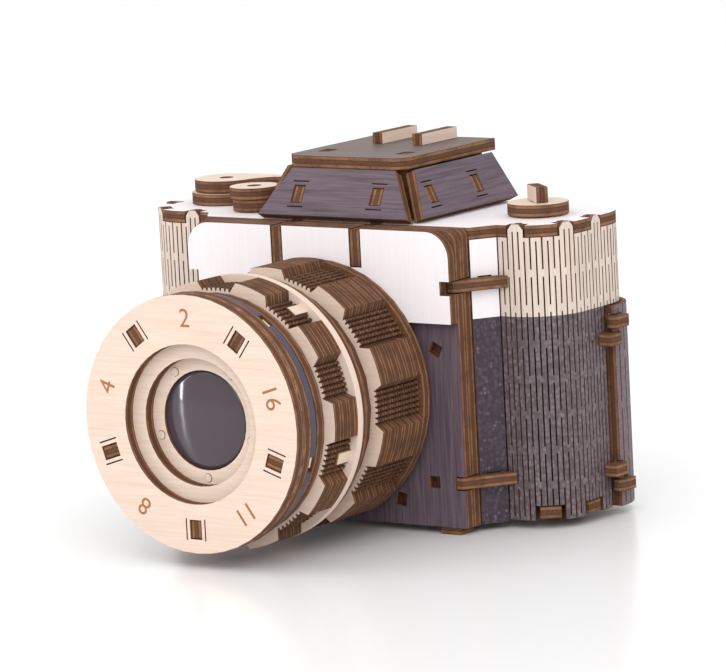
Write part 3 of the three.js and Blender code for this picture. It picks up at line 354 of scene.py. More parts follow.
def plywood(name, kind, mask_and_depth, grain, edge_finish=None):
    """Birch plywood, laser cut: a smooth dull face with fine grain, and a rougher brown edge.

    mask_and_depth gives, for a tree and its object position and normal, 1 on the faces, and the
    depth from the outer face. edge_finish changes the edge's colour.
    """
    finishes = bpy.context.scene.camera_finishes
    material, tree, shader = new_material(name)
    place = add(tree, "TexCoord", {}, {}, "Object")
    normal = add(tree, "TexCoord", {}, {}, "Normal")
    on_face, depth = mask_and_depth(tree, place, normal)
    seed = len(bpy.data.materials) * SEED_STEP
    if kind in TWO_TONES:
        face, grain_height, roughness = two_tone_colour(tree, place, kind, grain, finishes, seed)
    else:
        face, grain_height = face_colour(tree, place, kind, grain, finishes, seed)
        roughness = FACE_ROUGHNESS
    if kind in ONE_SIDED:
        inside = add(tree, "Math", {"operation": "GREATER_THAN"}, {0: depth, 1: finishes.sheet / 2})
        bare, _ = face_colour(tree, place, "bare", grain, finishes, seed)
        face = add(tree, "Mix", COLOURS, {0: inside, 6: face, 7: bare}, 2)
    edge, ridges = edge_colour(tree, place, depth, finishes)
    if edge_finish:
        edge = edge_finish(tree, place, depth, edge)
    height = add(tree, "Mix", NUMBERS, {0: on_face, 2: ridges, 3: grain_height})
    feed(tree, shader, {
        "Base Color": add(tree, "Mix", COLOURS, {0: on_face, 6: edge, 7: face}, 2),
        "Roughness": add(tree, "Mix", NUMBERS, {0: on_face, 2: EDGE_ROUGHNESS, 3: roughness}),
        "Specular IOR Level": WOOD_SPECULAR,
        "Normal": add(tree, "Bump", {}, {"Strength": 0.35, "Distance": 0.2 * MM, "Height": height}),
    })
    return material


def flat_sheet(axis, low):
    """Mask and depth of a flat sheet: axis points in from its outer face, which is at low."""
    def build(tree, place, normal):
        along = add(tree, "VectorMath", {"operation": "DOT_PRODUCT"}, {0: normal, 1: axis}, "Value")
        along = add(tree, "Math", {"operation": "ABSOLUTE"}, {0: along})
        depth = add(tree, "VectorMath", {"operation": "DOT_PRODUCT"}, {0: place, 1: axis}, "Value")
        depth = add(tree, "Math", {"operation": "SUBTRACT"}, {0: depth, 1: low})
        return add(tree, "Math", {"operation": "GREATER_THAN"}, {0: along, 1: FLAT_FACE}), depth
    return build


def stacked_sheets(axis, low, high):
    """Mask and depth of glued sheets: as a flat sheet, but only the two outermost faces are faces."""
    def build(tree, place, normal):
        looks, depth = flat_sheet(axis, low)(tree, place, normal)
        behind = add(tree, "Math", {"operation": "SUBTRACT"}, {0: high - low, 1: depth})
        inside = add(tree, "Math", {"operation": "MINIMUM"}, {0: depth, 1: behind})
        outermost = add(tree, "Math", {"operation": "LESS_THAN"}, {0: inside, 1: SKIN})
        return add(tree, "Math", {"operation": "MULTIPLY"}, {0: looks, 1: outermost}), depth
    return build


def bent_sheet(inner_low, inner_high, reach):
    """Mask and depth of a sheet bent round a rounded rectangle.

    The inner corners are those of the rectangle of bend centres, and reach is the outer radius.
    """
    def build(tree, place, normal):
        held = add(tree, "VectorMath", {"operation": "MAXIMUM"}, {0: place, 1: inner_low})
        held = add(tree, "VectorMath", {"operation": "MINIMUM"}, {0: held, 1: inner_high})
        outward = add(tree, "VectorMath", {"operation": "SUBTRACT"}, {0: place, 1: held})
        away = add(tree, "VectorMath", {"operation": "LENGTH"}, {0: outward}, "Value")
        direction = add(tree, "VectorMath", {"operation": "NORMALIZE"}, {0: outward})
        along = add(tree, "VectorMath", {"operation": "DOT_PRODUCT"}, {0: normal, 1: direction}, "Value")
        along = add(tree, "Math", {"operation": "ABSOLUTE"}, {0: along})
        depth = add(tree, "Math", {"operation": "SUBTRACT"}, {0: reach, 1: away})
        return add(tree, "Math", {"operation": "GREATER_THAN"}, {0: along, 1: BENT_FACE}), depth
    return build


def dress(node, material):
    """Gives a CAD node one material."""
    NODES[node].data.materials.clear()
    NODES[node].data.materials.append(material)


def dress_sheet(node, kind, axis, grain, edge_finish=None):
    """Gives a flat CAD sheet its plywood; axis points in from its outer face."""
    low = min(vertex.co.dot(axis) for vertex in NODES[node].data.vertices)
    dress(node, plywood(f"birch_ply_{kind}.{node}", kind, flat_sheet(axis, low), grain, edge_finish))


def leaning_axis(node):
    """The direction, inwards, that a leaning panel's faces look in: the one with the most area."""
    areas = {}
    for polygon in NODES[node].data.polygons:
        direction = tuple(round(value, 2) for value in polygon.normal)
        areas[direction] = areas.get(direction, 0) + polygon.area
    axis = Vector(max(areas, key=areas.get)).normalized()
    low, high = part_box(node)
    outward = (low + high) / 2 - (LOADED_BOUNDS[0] + LOADED_BOUNDS[1]) / 2
    return -axis if axis.dot(outward) > 0 else axis


def finished_piece(name, shape, material):
    """A mesh object at the origin from a bmesh, which is freed."""
    mesh = bpy.data.meshes.new(name)
    shape.to_mesh(mesh)
    shape.free()
    mesh.materials.append(material)
    piece = bpy.data.objects.new(name, mesh)
    bpy.context.scene.collection.objects.link(piece)
    return piece


def round_lens(angle, radius, y):
    """A point at an angle round the lens axis."""
    across = radius * math.cos(angle)
    return Vector((LENS_CENTRE.x + across, y, LENS_CENTRE.z + radius * math.sin(angle)))


def listed(cls):
    """Lists a class for registering."""
    CLASSES.append(cls)
    return cls


@listed
class CAMERA_OT_front_sheets(bpy.types.Operator):
    """Facing, front plate and backing frame"""

    bl_idname = "toy_camera.front_sheets"
    bl_label = "Front sheets"

    def execute(self, context):
        dress_sheet("front_facing", "white", ALONG_Y, ALONG_Z)
        dress_sheet("front_plate", "front_plate", ALONG_Y, ALONG_Z)
        dress_sheet("front_frame", "bar", ALONG_Y, ALONG_Z)
        return {"FINISHED"}


@listed
class CAMERA_OT_plates(bpy.types.Operator):
    """Top and bottom plates, shelves, rear panel and feet"""

    bl_idname = "toy_camera.plates"
    bl_label = "Plates and shelves"

    def execute(self, context):
        dress_sheet("top_plate", "white", -ALONG_Z, ALONG_X)
        dress_sheet("rear_panel", "white", -ALONG_Y, ALONG_X)
        feet = [node for node in sorted(NODES) if node.startswith("foot_")]
        for node in ["bottom_plate", "shelf_upper", "shelf_lower"] + feet:
            dress_sheet(node, "bar", ALONG_Z, ALONG_X)
        return {"FINISHED"}


@listed
class CAMERA_OT_side_panels(bpy.types.Operator):
    """Flared two-tone side panels"""

    bl_idname = "toy_camera.side_panels"
    bl_label = "Side panels"

    def execute(self, context):
        for word in ("left", "right"):
            node = f"side_panel_{word}"
            dress_sheet(node, "side_panel", leaning_axis(node), ALONG_Z)
        return {"FINISHED"}


def shaded_below_split(tree, place, depth, edge):
    """Edge finish of a slit end: darker below the split, as painted shade that deepens the slits."""
    finishes = bpy.context.scene.camera_finishes
    up = add(tree, "SeparateXYZ", {}, {"Vector": place}, 2)
    below = add(tree, "Math", {"operation": "LESS_THAN"}, {0: up, 1: finishes.split_height})
    # Painted shade: the char colour mixed into every edge below the split.
    share = add(tree, "Math", {"operation": "MULTIPLY"}, {0: below, 1: SLIT_SHADE})
    return add(tree, "Mix", COLOURS, {0: share, 6: edge, 7: linear(finishes.char_and_shade)}, 2)


@listed
class CAMERA_OT_bent_ends(bpy.types.Operator):
    """Living-hinge panels round the body ends, and the bent door"""

    bl_idname = "toy_camera.bent_ends"
    bl_label = "Bent ends and door"

    corner: bpy.props.FloatProperty(
        name="Corner", description="Plan radius of the ends' corners", default=13.5 * MM, unit="LENGTH")

    def execute(self, context):
        left_low, left_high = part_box("end_panel_left")
        right_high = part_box("end_panel_right")[1]
        low = Vector((left_low.x + self.corner, left_low.y + self.corner, -FAR))
        high = Vector((right_high.x - self.corner, left_high.y - self.corner, FAR))
        for node in ("end_panel_left", "end_panel_right"):
            dress(node, plywood(f"birch_ply_slit.{node}", "slit_end",
                                bent_sheet(low, high, self.corner), ALONG_Z, shaded_below_split))
        door_low, door_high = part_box("door_panel")
        reach = self.corner + door_high.x - right_high.x
        low = Vector((door_low.x + reach, -FAR, -FAR))
        high = Vector((door_high.x - reach, door_high.y - reach, FAR))
        dress("door_panel", plywood("birch_ply_stain.door_panel", "strip",
                                    bent_sheet(low, high, reach), ALONG_X))
        return {"FINISHED"}


@listed
class CAMERA_OT_prism_housing(bpy.types.Operator):
    """Leaning panels, roof, ribs, frames and rails"""

    bl_idname = "toy_camera.prism_housing"
    bl_label = "Prism housing"

    def execute(self, context):
        dress_sheet("prism_front", "stain", leaning_axis("prism_front"), ALONG_X)
        dress_sheet("prism_back", "stain", -ALONG_Y, ALONG_X)
        for word in ("left", "right"):
            side = f"prism_side_{word}"
            dress_sheet(side, "stain", leaning_axis(side), ALONG_Y)
            dress_sheet(f"prism_rib_{word}", "bar", ALONG_X, ALONG_Y)
            dress_sheet(f"shoe_rail_{word}", "bare", ALONG_X, ALONG_Y)
        dress_sheet("prism_frame_front", "bar", ALONG_Y, ALONG_X)
        dress_sheet("prism_frame_rear", "bar", ALONG_Y, ALONG_X)
        dress_sheet("prism_roof", "roof", -ALONG_Z, ALONG_X)
        return {"FINISHED"}


def bare_behind_ring(tree, place, depth, edge):
    """Edge finish of a stringer: browned in the front ring's slots, bare behind that ring."""
    along = add(tree, "SeparateXYZ", {}, {"Vector": place}, 1)
    behind = add(tree, "Math", {"operation": "GREATER_THAN"}, {0: along, 1: LENS_HIGH.y})
    return add(tree, "Mix", COLOURS, {
        0: behind, 6: edge, 7: linear(bpy.context.scene.camera_finishes.birch)}, 2)


@listed
class CAMERA_OT_lens_rings(bpy.types.Operator):
    """Fixed rings of the lens, and the stringers that carry them"""

    bl_idname = "toy_camera.lens_rings"
    bl_label = "Lens rings"

    def execute(self, context):
        for word in ("name", "second", "third", "index"):
            dress_sheet(f"lens_{word}_ring", "bare", ALONG_Y, ALONG_X)
        for word in ("stop", "spacer", "rear", "mount"):
            dress_sheet(f"lens_{word}_ring", "bar", ALONG_Y, ALONG_X)
        for node in sorted(NODES):
            if node.startswith("lens_stringer_"):
                dress_sheet(node, "bare", leaning_axis(node), ALONG_Y, bare_behind_ring)
        return {"FINISHED"}


def stained_veneer(finishes):
    """Birch veneer, stained blue-grey: fine streaks round the hoop, a soft sheen."""
    material, tree, shader = new_material("birch_veneer_stained")
    place = add(tree, "TexCoord", {}, {}, "Object")
    stretched = add(tree, "Mapping", {}, {
        "Vector": place, "Scale": (1 / (6 * MM), 1 / (0.4 * MM), 1 / (6 * MM))})
    streaks = add(tree, "TexNoise", {}, {"Vector": stretched, "Scale": 1.0, "Detail": 3.0})
    share = add(tree, "MapRange", {}, {"Value": streaks, "From Min": 0.4, "From Max": 0.7})
    feed(tree, shader, {
        "Base Color": add(tree, "Mix", COLOURS, {
            0: share, 6: linear(finishes.hoop), 7: linear(finishes.stain_grain)}, 2),
        "Roughness": 0.4,
        "Specular IOR Level": 0.35,
        "Normal": add(tree, "Bump", {}, {"Strength": 0.2, "Distance": 0.1 * MM, "Height": streaks}),
    })
    return material


@listed
class CAMERA_OT_rim_band(bpy.types.Operator):
    """Stained hoop round the third ring, open at the stringers"""

    bl_idname = "toy_camera.rim_band"
    bl_label = "Rim band"

    thickness: bpy.props.FloatProperty(
        name="Thickness", description="Of the hoop", default=1.7 * MM, unit="LENGTH")
    gap: bpy.props.FloatProperty(
        name="Gap", description="Left open at a stringer", default=4.4 * MM, unit="LENGTH")
    inset: bpy.props.FloatProperty(
        name="Inset", description="Clear of the rings beside it", default=0.1 * MM, unit="LENGTH")
    steps: bpy.props.IntProperty(name="Steps", description="Along one stretch", default=24, min=4)

    def execute(self, context):
        low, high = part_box("lens_third_ring")
        inner = (high.z - low.z) / 2 + self.inset
        outer = inner + self.thickness
        opening = self.gap / outer
        sweep = math.tau / LENS_PLACES - opening
        hoop = bmesh.new()
        for k in range(LENS_PLACES):
            start = LENS_FIRST + k * math.tau / LENS_PLACES + opening / 2
            corners = [hoop.verts.new(round_lens(start, radius, y)) for radius, y in (
                (inner, low.y), (outer, low.y), (outer, high.y), (inner, high.y))]
            face = hoop.faces.new(corners)
            bmesh.ops.spin(hoop, geom=corners + list(face.edges) + [face], cent=LENS_CENTRE,
                           axis=-ALONG_Y, angle=sweep, steps=self.steps)
        bmesh.ops.recalc_face_normals(hoop, faces=hoop.faces)
        piece = finished_piece("rim_band", hoop, stained_veneer(context.scene.camera_finishes))
        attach(piece, ROOT_BODY)
        return {"FINISHED"}


# Where the corners of one tooth are along it, and 1 at its root or 0 at its tip.
TOOTH_CORNERS = ((0, 1), (0.25, 1), (0.4, 0), (0.85, 0))


@listed
class CAMERA_OT_grips(bpy.types.Operator):
    """Focus and aperture grips: glued plies with toothed hollows between raised arcs"""

    bl_idname = "toy_camera.grips"
    bl_label = "Ring grips"

    lobes: bpy.props.IntProperty(name="Lobes", description="Hollows round a ring", default=10, min=3)
    teeth: bpy.props.IntProperty(name="Teeth", description="In each hollow", default=6, min=2)
    arc_steps: bpy.props.IntProperty(
        name="Arc steps", description="Along a raised arc", default=8, min=2)
    hollow_arc: bpy.props.FloatProperty(
        name="Hollow arc", description="Toothed stretch", default=math.radians(15), subtype="ANGLE")
    flank: bpy.props.FloatProperty(
        name="Flank", description="Slope beside a hollow", default=math.radians(2.5), subtype="ANGLE")
    hollow: bpy.props.FloatProperty(
        name="Hollow", description="Tooth tips below the raised arcs", default=2 * MM, unit="LENGTH")
    tooth: bpy.props.FloatProperty(
        name="Tooth", description="Height of a tooth", default=0.8 * MM, unit="LENGTH")
    groove: bpy.props.FloatProperty(
        name="Groove", description="Width of the line between two plies",
        default=0.5 * MM, unit="LENGTH")
    bore: bpy.props.FloatProperty(
        name="Bore", description="Radius of the bore", default=30.55 * MM, unit="LENGTH")
    pale_band: bpy.props.FloatProperty(
        name="Pale band", description="Bare rim at the back of the focus grip",
        default=2.3 * MM, unit="LENGTH")
    tongue_width: bpy.props.FloatProperty(
        name="Tongue width", description="Of a bare tongue", default=3.6 * MM, unit="LENGTH")

    def execute(self, context):
        sheet = context.scene.camera_finishes.sheet
        for node, body, phase, band in (
                ("focus_ring", "focus", LENS_FIRST, self.pale_band),
                ("aperture_ring", "aperture", 0.0, 0.0)):
            low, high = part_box(node)
            radius = max(high.x - low.x, high.z - low.z) / 2
            rows = self.rows(low.y, high.y, sheet, radius, band)
            shape = self.stack(self.outline(radius, phase), rows)
            mask = stacked_sheets(ALONG_Y, low.y, high.y)
            bare_from = high.y - low.y - band - SKIN if band else FAR
            wood = plywood(f"birch_ply_toothed.{body}", "bare", mask, ALONG_X,
                           self.toothed(radius, bare_from))
            piece = finished_piece(f"{body}_grip", shape, wood)
            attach(piece, body)
            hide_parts(node)
        self.tongues()
        return {"FINISHED"}

    def outline(self, radius, phase):
        """Angle and radius of each corner of a ply, round the ring."""
        corners = []
        period = math.tau / self.lobes
        step = self.hollow_arc / self.teeth
        tip = radius - self.hollow
        arc = period - self.hollow_arc - 2 * self.flank
        for lobe in range(self.lobes):
            start = phase + lobe * period - self.hollow_arc / 2
            for tooth in range(self.teeth):
                for share, root in TOOTH_CORNERS:
                    corners.append((start + (tooth + share) * step, tip - root * self.tooth))
            corners.append((start + self.hollow_arc, tip - self.tooth))
            rise = start + self.hollow_arc + self.flank
            corners += [(rise + arc * k / self.arc_steps, radius) for k in range(self.arc_steps + 1)]
        return corners

    def rows(self, front, back, sheet, radius, band):
        """Depth of each loop of corners, how far it is sunk below the outline, and its least radius."""
        sunk = 2 * self.groove
        rows = [(front, 0, 0)]
        for ply in range(1, round((back - front) / sheet)):
            before = front + ply * sheet - self.groove / 2
            after = before + self.groove
            if after < back - band:
                rows += [(before, 0, 0), (before, sunk, 0), (after, sunk, 0), (after, 0, 0)]
        if band:
            rows += [(back - band, 0, 0), (back - band, 0, radius)]
        rows.append((back, 0, radius if band else 0))
        return rows

    def stack(self, outline, rows):
        """Extrudes the outline from row to row, and back through the bore to where it began."""
        shape = bmesh.new()
        number = shape.verts.layers.int.new("corner")
        corners = []
        for k, (angle, radius) in enumerate(outline):
            corners.append(shape.verts.new(round_lens(angle, radius, rows[0][0])))
            corners[k][number] = k
        edges = [shape.edges.new(pair) for pair in zip(corners, corners[1:] + corners[:1])]
        bore = [(rows[-1][0], FAR, self.bore), (rows[0][0], FAR, self.bore)]
        for y, sunk, least in rows[1:] + bore + rows[:1]:
            grown = bmesh.ops.extrude_edge_only(shape, edges=edges)["geom"]
            corners = {item for item in grown if isinstance(item, bmesh.types.BMVert)}
            for corner in corners:
                angle, radius = outline[corner[number]]
                corner.co = round_lens(angle, max(radius - sunk, least), y)
            edges = [item for item in grown
                     if isinstance(item, bmesh.types.BMEdge) and corners.issuperset(item.verts)]
        bmesh.ops.remove_doubles(shape, verts=shape.verts, dist=MERGE)
        bmesh.ops.recalc_face_normals(shape, faces=shape.faces)
        return shape

    def toothed(self, radius, bare_from):
        """Edge finish of a grip: charred all over, with painted shade in the hollows down to the roots
        of the teeth, bare beyond the depth bare_from.
        """
        def build(tree, place, depth, edge):
            finishes = bpy.context.scene.camera_finishes
            offset = add(tree, "VectorMath", {"operation": "SUBTRACT"}, {0: place, 1: LENS_CENTRE})
            offset = add(tree, "VectorMath", {"operation": "MULTIPLY"}, {0: offset, 1: (1, 0, 1)})
            away = add(tree, "VectorMath", {"operation": "LENGTH"}, {0: offset}, "Value")
            root = radius - self.hollow - self.tooth
            # Painted shade: the char colour deepens towards the roots of the teeth, in the hollows.
            deep = add(tree, "MapRange", {}, {
                "Value": away, "From Min": radius - self.hollow / 2, "From Max": root,
                "To Max": ROOT_SHADE})
            darkest = linear(finishes.char_and_shade)
            colour = add(tree, "Mix", COLOURS, {0: GRIP_CHAR, 6: edge, 7: darkest}, 2)
            colour = add(tree, "Mix", COLOURS, {0: deep, 6: colour, 7: darkest}, 2)
            band = add(tree, "Math", {"operation": "GREATER_THAN"}, {0: depth, 1: bare_from})
            return add(tree, "Mix", COLOURS, {0: band, 6: colour, 7: linear(finishes.birch)}, 2)
        return build

    def tongues(self):
        """Bare tongues in every second hollow of the focus grip, from the middle of its second ply."""
        low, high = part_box("focus_ring")
        sheet = bpy.context.scene.camera_finishes.sheet
        tip = (high.x - low.x) / 2 - self.hollow
        front = low.y + 1.5 * sheet
        size = Vector((tip - self.bore - self.groove, high.y - front, self.tongue_width))
        shape = bmesh.new()
        for k in range(LENS_PLACES):
            angle = LENS_FIRST + k * math.tau / LENS_PLACES
            middle = round_lens(angle, tip + self.groove - size.x / 2, (front + high.y) / 2)
            turn = Matrix.Translation(middle) @ Matrix.Rotation(-angle, 4, "Y")
            bmesh.ops.create_cube(shape, size=1, matrix=turn @ Matrix.Diagonal(size).to_4x4())
        bmesh.ops.bevel(shape, geom=shape.edges[:], offset=self.groove / 2, affect="EDGES", segments=1,
                        profile=0.5, material=-1)
        axis_low = Vector((LENS_CENTRE.x, -FAR, LENS_CENTRE.z))
        axis_high = Vector((LENS_CENTRE.x, FAR, LENS_CENTRE.z))
        wood = plywood("birch_ply_bare.tongues", "bare", bent_sheet(axis_low, axis_high, tip), ALONG_Y)
        piece = finished_piece("focus_tongues", shape, wood)
        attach(piece, "focus")


@listed
class CAMERA_OT_dials(bpy.types.Operator):
    """Wind lever, speed dial and rewind disc"""

    bl_idname = "toy_camera.dials"
    bl_label = "Lever and dials"

    def execute(self, context):
        for node in ("lever_base", "advance_lever", "speed_dial_base", "speed_dial_top", "rewind_disc"):
            dress_sheet(node, "bare", ALONG_Z, ALONG_X)
        for node in ("lever_axle", "speed_axle", "rewind_axle"):
            dress_sheet(node, "bar", ALONG_Z, ALONG_X)
        dress_sheet("rewind_key", "bare", leaning_axis("rewind_key"), ALONG_X)
        return {"FINISHED"}


@listed
class CAMERA_OT_hinges(bpy.types.Operator):
    """Hinge lugs and pins of the back door"""

    bl_idname = "toy_camera.hinges"
    bl_label = "Door hinges"

    def execute(self, context):
        for word in ("top", "bottom"):
            for node in (f"door_lug_{word}", f"body_lug_{word}", f"hinge_pin_{word}"):
                dress_sheet(node, "bar", ALONG_Z, ALONG_X)
        return {"FINISHED"}


def smoked_acrylic(finishes):
    """Smoked acrylic, polished: dark body, sharp bright reflections."""
    material, tree, shader = new_material("smoked_acrylic_polished")
    place = add(tree, "TexCoord", {}, {}, "Object")
    haze = add(tree, "TexNoise", {}, {"Vector": place, "Scale": 1 / (6 * MM), "Detail": 2.0})
    feed(tree, shader, {
        "Base Color": linear(finishes.acrylic),
        "IOR": 1.49,
        "Roughness": add(tree, "MapRange", {}, {"Value": haze, "To Min": 0.04, "To Max": 0.1}),
    })
    return material


@listed
class CAMERA_OT_lens_disc(bpy.types.Operator):
    """Domed lens disc, smoother than its solid"""

    bl_idname = "toy_camera.lens_disc"
    bl_label = "Lens disc"

    steps: bpy.props.IntProperty(name="Steps", description="Steps round the disc", default=96, min=12)
    dome_steps: bpy.props.IntProperty(
        name="Dome steps", description="Steps up the dome", default=12, min=3)
    dome: bpy.props.FloatProperty(
        name="Dome", description="Height of the dome", default=1.5 * MM, unit="LENGTH")
    inset: bpy.props.FloatProperty(
        name="Inset", description="Dome's rim behind the third ring's face",
        default=0.5 * MM, unit="LENGTH")
    play: bpy.props.FloatProperty(
        name="Play", description="Round the dome in the third ring's hole",
        default=0.2 * MM, unit="LENGTH")
    edge: bpy.props.FloatProperty(
        name="Edge", description="Thickness of the flat rim", default=1 * MM, unit="LENGTH")

    def execute(self, context):
        low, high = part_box("lens_glass")
        centre = (low + high) / 2
        radius = (high.x - low.x) / 2
        shoulder = high.y - self.edge
        ring = NODES["lens_third_ring"].data.vertices
        hole = min(math.hypot(vertex.co.x - centre.x, vertex.co.z - centre.z) for vertex in ring)
        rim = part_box("lens_third_ring")[0].y + self.inset
        profile = []
        for k in range(self.dome_steps + 1):
            share = k / self.dome_steps
            profile.append(((hole - self.play) * share, rim - self.dome * (1 - share ** 2)))
        profile += [(hole - self.play, shoulder), (radius, shoulder), (radius, high.y), (0, high.y)]
        disc = bmesh.new()
        points = [disc.verts.new((centre.x + r, y, centre.z)) for r, y in profile]
        edges = [disc.edges.new(pair) for pair in zip(points, points[1:])]
        bmesh.ops.spin(disc, geom=points + edges, cent=centre, axis=ALONG_Y, angle=math.tau,
                       steps=self.steps, use_merge=True)
        bmesh.ops.remove_doubles(disc, verts=disc.verts, dist=MERGE)
        bmesh.ops.recalc_face_normals(disc, faces=disc.faces)
        piece = finished_piece("lens_disc", disc, smoked_acrylic(context.scene.camera_finishes))
        # The dome is shaded smooth, and the back and the straight sides are not.
        for polygon in piece.data.polygons:
            polygon.use_smooth = polygon.normal.y < 0.9 and abs(polygon.normal.y) > 0.1
        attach(piece, ROOT_BODY)
        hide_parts("lens_glass")
        return {"FINISHED"}


@listed
class CAMERA_OT_pegs(bpy.types.Operator):
    """Ends of the five pegs that hold the third ring, each with a browned rim"""

    bl_idname = "toy_camera.pegs"
    bl_label = "Peg ends"

    radius: bpy.props.FloatProperty(
        name="Radius", description="Of a peg", default=1.3 * MM, unit="LENGTH")
    circle: bpy.props.FloatProperty(
        name="Circle", description="Lens axis to each peg", default=15.3 * MM, unit="LENGTH")
    proud: bpy.props.FloatProperty(
        name="Proud", description="Peg ends stand out of the ring", default=0.15 * MM, unit="LENGTH")

    def execute(self, context):
        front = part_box("lens_third_ring")[0].y
        depth = 4 * self.proud
        pegs = bmesh.new()
        for k in range(LENS_PLACES):
            angle = LENS_FIRST + k * math.tau / LENS_PLACES
            middle = round_lens(angle, self.circle, front - self.proud + depth / 2)
            turn = Matrix.Translation(middle) @ Matrix.Rotation(math.pi / 2, 4, "X")
            bmesh.ops.create_cone(pegs, cap_ends=True, segments=32, radius1=self.radius,
                                  radius2=self.radius, depth=depth, matrix=turn)
        # The edges between a peg's ends and its side turn by a right angle.
        rims = [edge for edge in pegs.edges if edge.calc_face_angle() > 1]
        bmesh.ops.bevel(pegs, geom=rims, offset=1.4 * self.proud, affect="EDGES", segments=1,
                        profile=0.5, material=-1)
        piece = finished_piece("peg_ends", pegs, plywood(
            "birch_dowel_end", "bare", flat_sheet(ALONG_Y, front), ALONG_Z))
        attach(piece, ROOT_BODY)
        return {"FINISHED"}


def engraved_brown(finishes):
    """Laser-engraved birch: a shallow browned line, matt, a little uneven along its length."""
    material, tree, shader = new_material("birch_laser_engraved")
    place = add(tree, "TexCoord", {}, {}, "Object")
    uneven = add(tree, "TexNoise", {}, {"Vector": place, "Scale": 1 / (1.2 * MM), "Detail": 2.0})
    share = add(tree, "MapRange", {}, {"Value": uneven, "From Min": 0.35, "From Max": 0.7})
    feed(tree, shader, {
        "Base Color": add(tree, "Mix", COLOURS, {
            0: share, 6: linear(finishes.engraving), 7: linear(finishes.cut_light)}, 2),
        "Roughness": 0.8,
        "Specular IOR Level": 0.15,
    })
    return material


@listed
class CAMERA_OT_numerals(bpy.types.Operator):
    """Plain numbers engraved between the slots of the front ring"""

    bl_idname = "toy_camera.numerals"
    bl_label = "Ring numerals"

    height: bpy.props.FloatProperty(
        name="Height", description="Of a numeral", default=7 * MM, unit="LENGTH")
    circle: bpy.props.FloatProperty(
        name="Circle", description="Lens axis to each numeral's middle",
        default=27.8 * MM, unit="LENGTH")
    relief: bpy.props.FloatProperty(
        name="Relief", description="Numerals stand out of the ring", default=0.02 * MM, unit="LENGTH")

    def execute(self, context):
        numerals = bmesh.new()
        for k, word in enumerate(("2", "4", "8", "11", "16")):
            angle = LENS_FIRST + (k + 0.5) * math.tau / LENS_PLACES
            outward = Vector((math.cos(angle), 0, math.sin(angle)))
            across = Vector((math.sin(angle), 0, -math.cos(angle)))
            turn = Matrix((across, outward, -ALONG_Y)).transposed().to_4x4()
            place = Matrix.Translation(round_lens(angle, self.circle, LENS_LOW.y)) @ turn
            number = self.number_mesh(context, word, place)
            numerals.from_mesh(number)
            bpy.data.meshes.remove(number)
        bmesh.ops.remove_doubles(numerals, verts=numerals.verts, dist=MERGE)
        bmesh.ops.recalc_face_normals(numerals, faces=numerals.faces)
        piece = finished_piece("ring_numerals", numerals, engraved_brown(context.scene.camera_finishes))
        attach(piece, ROOT_BODY)
        return {"FINISHED"}

    def number_mesh(self, context, word, place):
        """A number as a mesh, set in its place on the ring."""
        text = bpy.data.curves.new("numeral", "FONT")
        text.body = word
        text.size = self.height
        text.align_x = "CENTER"
        text.align_y = "CENTER"
        text.extrude = self.relief
        holder = bpy.data.objects.new("numeral", text)
        context.scene.collection.objects.link(holder)
        shape = bpy.data.meshes.new_from_object(holder.evaluated_get(context.evaluated_depsgraph_get()))
        bpy.data.objects.remove(holder)
        bpy.data.curves.remove(text)
        shape.transform(place)
        return shape


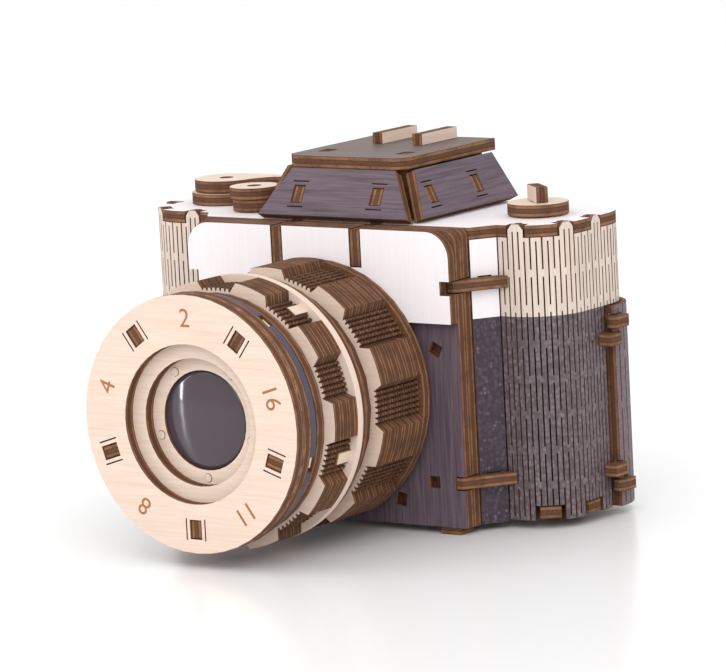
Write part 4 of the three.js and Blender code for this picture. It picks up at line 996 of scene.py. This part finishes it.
@listed
class CAMERA_OT_studio(bpy.types.Operator):
    """Pale floor, soft lights, and the camera at the photo's angle"""

    bl_idname = "toy_camera.studio"
    bl_label = "Studio"

    floor_half: bpy.props.FloatProperty(
        name="Floor half", description="Middle of the floor to its side", default=3.0, unit="LENGTH")

    def execute(self, context):
        stage = context.scene.camera_stage
        self.lay_floor(stage)
        self.hang_lights(context)
        self.stand_camera(context, stage)
        return {"FINISHED"}

    def lay_floor(self, stage):
        """Board in satin paint: nearly white, with a soft reflection of what stands on it."""
        floor = bmesh.new()
        bmesh.ops.create_grid(floor, x_segments=1, y_segments=1, size=self.floor_half)
        material, tree, shader = new_material("studio_floor_painted")
        feed(tree, shader, {"Base Color": linear(stage.floor), "Roughness": 0.25})
        finished_piece("studio_floor", floor, material)

    def hang_lights(self, context):
        """White surroundings, two softboxes, and a narrow strip that draws a line in the lens disc."""
        world = bpy.data.worlds.new("studio_light")
        world.use_nodes = True
        surroundings = world.node_tree.nodes["Background"]
        feed(world.node_tree, surroundings, {"Color": (1, 1, 1, 1), "Strength": 1.0})
        context.scene.world = world
        context.scene.view_settings.view_transform = "Standard"
        aim = Vector((0, 0, 50 * MM))
        for name, place, width, height, power in (
                ("key_softbox", Vector((0.6, -0.9, 0.8)), 0.8, 0.8, 6.0),
                ("fill_softbox", Vector((-0.7, -0.6, 0.8)), 0.6, 0.6, 1.5),
                ("strip_light", Vector((-0.67, -0.59, 0.16)), 0.02, 0.3, 0.6)):
            light = bpy.data.lights.new(name, "AREA")
            light.shape = "RECTANGLE"
            light.size = width
            light.size_y = height
            light.energy = power
            lamp = bpy.data.objects.new(name, light)
            lamp.location = place
            lamp.rotation_euler = (aim - place).to_track_quat("-Z", "Y").to_euler()
            context.scene.collection.objects.link(lamp)

    def stand_camera(self, context, stage):
        """Turned first, then moved along its own axes from the front plate's lower edge."""
        a, e, r = stage.azimuth, stage.elevation, stage.roll
        back = Vector((math.sin(a) * math.cos(e), -math.cos(a) * math.cos(e), math.sin(e)))
        level = Vector((math.cos(a), math.sin(a), 0))
        upright = back.cross(level)
        right = math.cos(r) * level + math.sin(r) * upright
        up = -math.sin(r) * level + math.cos(r) * upright
        plate_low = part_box("front_plate")[0]
        origin = Vector((LENS_CENTRE.x, plate_low.y, plate_low.z))
        view = bpy.data.cameras.new("photo_camera")
        view.lens = stage.focal
        view.sensor_fit = "HORIZONTAL"
        view.sensor_width = 36
        view.clip_end = 20
        stand = bpy.data.objects.new("photo_camera", view)
        place = origin + stage.distance * back + stage.aside * right + stage.upward * up
        stand.matrix_world = Matrix.Translation(place) @ Matrix((right, up, back)).transposed().to_4x4()
        context.scene.collection.objects.link(stand)
        context.scene.camera = stand


@listed
class CAMERA_PT_pieces(bpy.types.Panel):
    """Lists the pieces of the camera"""

    bl_label = "Toy Camera"
    bl_idname = "CAMERA_PT_pieces"
    bl_space_type = "VIEW_3D"
    bl_region_type = "UI"
    bl_category = "Toy Camera"

    def draw(self, context):
        for cls in CLASSES:
            if issubclass(cls, bpy.types.Operator):
                self.layout.operator(cls.bl_idname)


def register():
    for cls in CLASSES:
        bpy.utils.register_class(cls)
    bpy.types.Scene.camera_finishes = bpy.props.PointerProperty(type=CameraFinishes)
    bpy.types.Scene.camera_stage = bpy.props.PointerProperty(type=CameraStage)


def unregister():
    del bpy.types.Scene.camera_stage
    del bpy.types.Scene.camera_finishes
    for cls in reversed(CLASSES):
        bpy.utils.unregister_class(cls)


def main():
    """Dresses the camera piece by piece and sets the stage."""
    register()
    bpy.ops.toy_camera.front_sheets()
    bpy.ops.toy_camera.plates()
    bpy.ops.toy_camera.side_panels()
    bpy.ops.toy_camera.bent_ends()
    bpy.ops.toy_camera.prism_housing()
    bpy.ops.toy_camera.lens_rings()
    bpy.ops.toy_camera.rim_band()
    bpy.ops.toy_camera.grips()
    bpy.ops.toy_camera.dials()
    bpy.ops.toy_camera.hinges()
    bpy.ops.toy_camera.lens_disc()
    bpy.ops.toy_camera.pegs()
    bpy.ops.toy_camera.numerals()
    bpy.ops.toy_camera.studio()


if __name__ == "__main__":
    main()
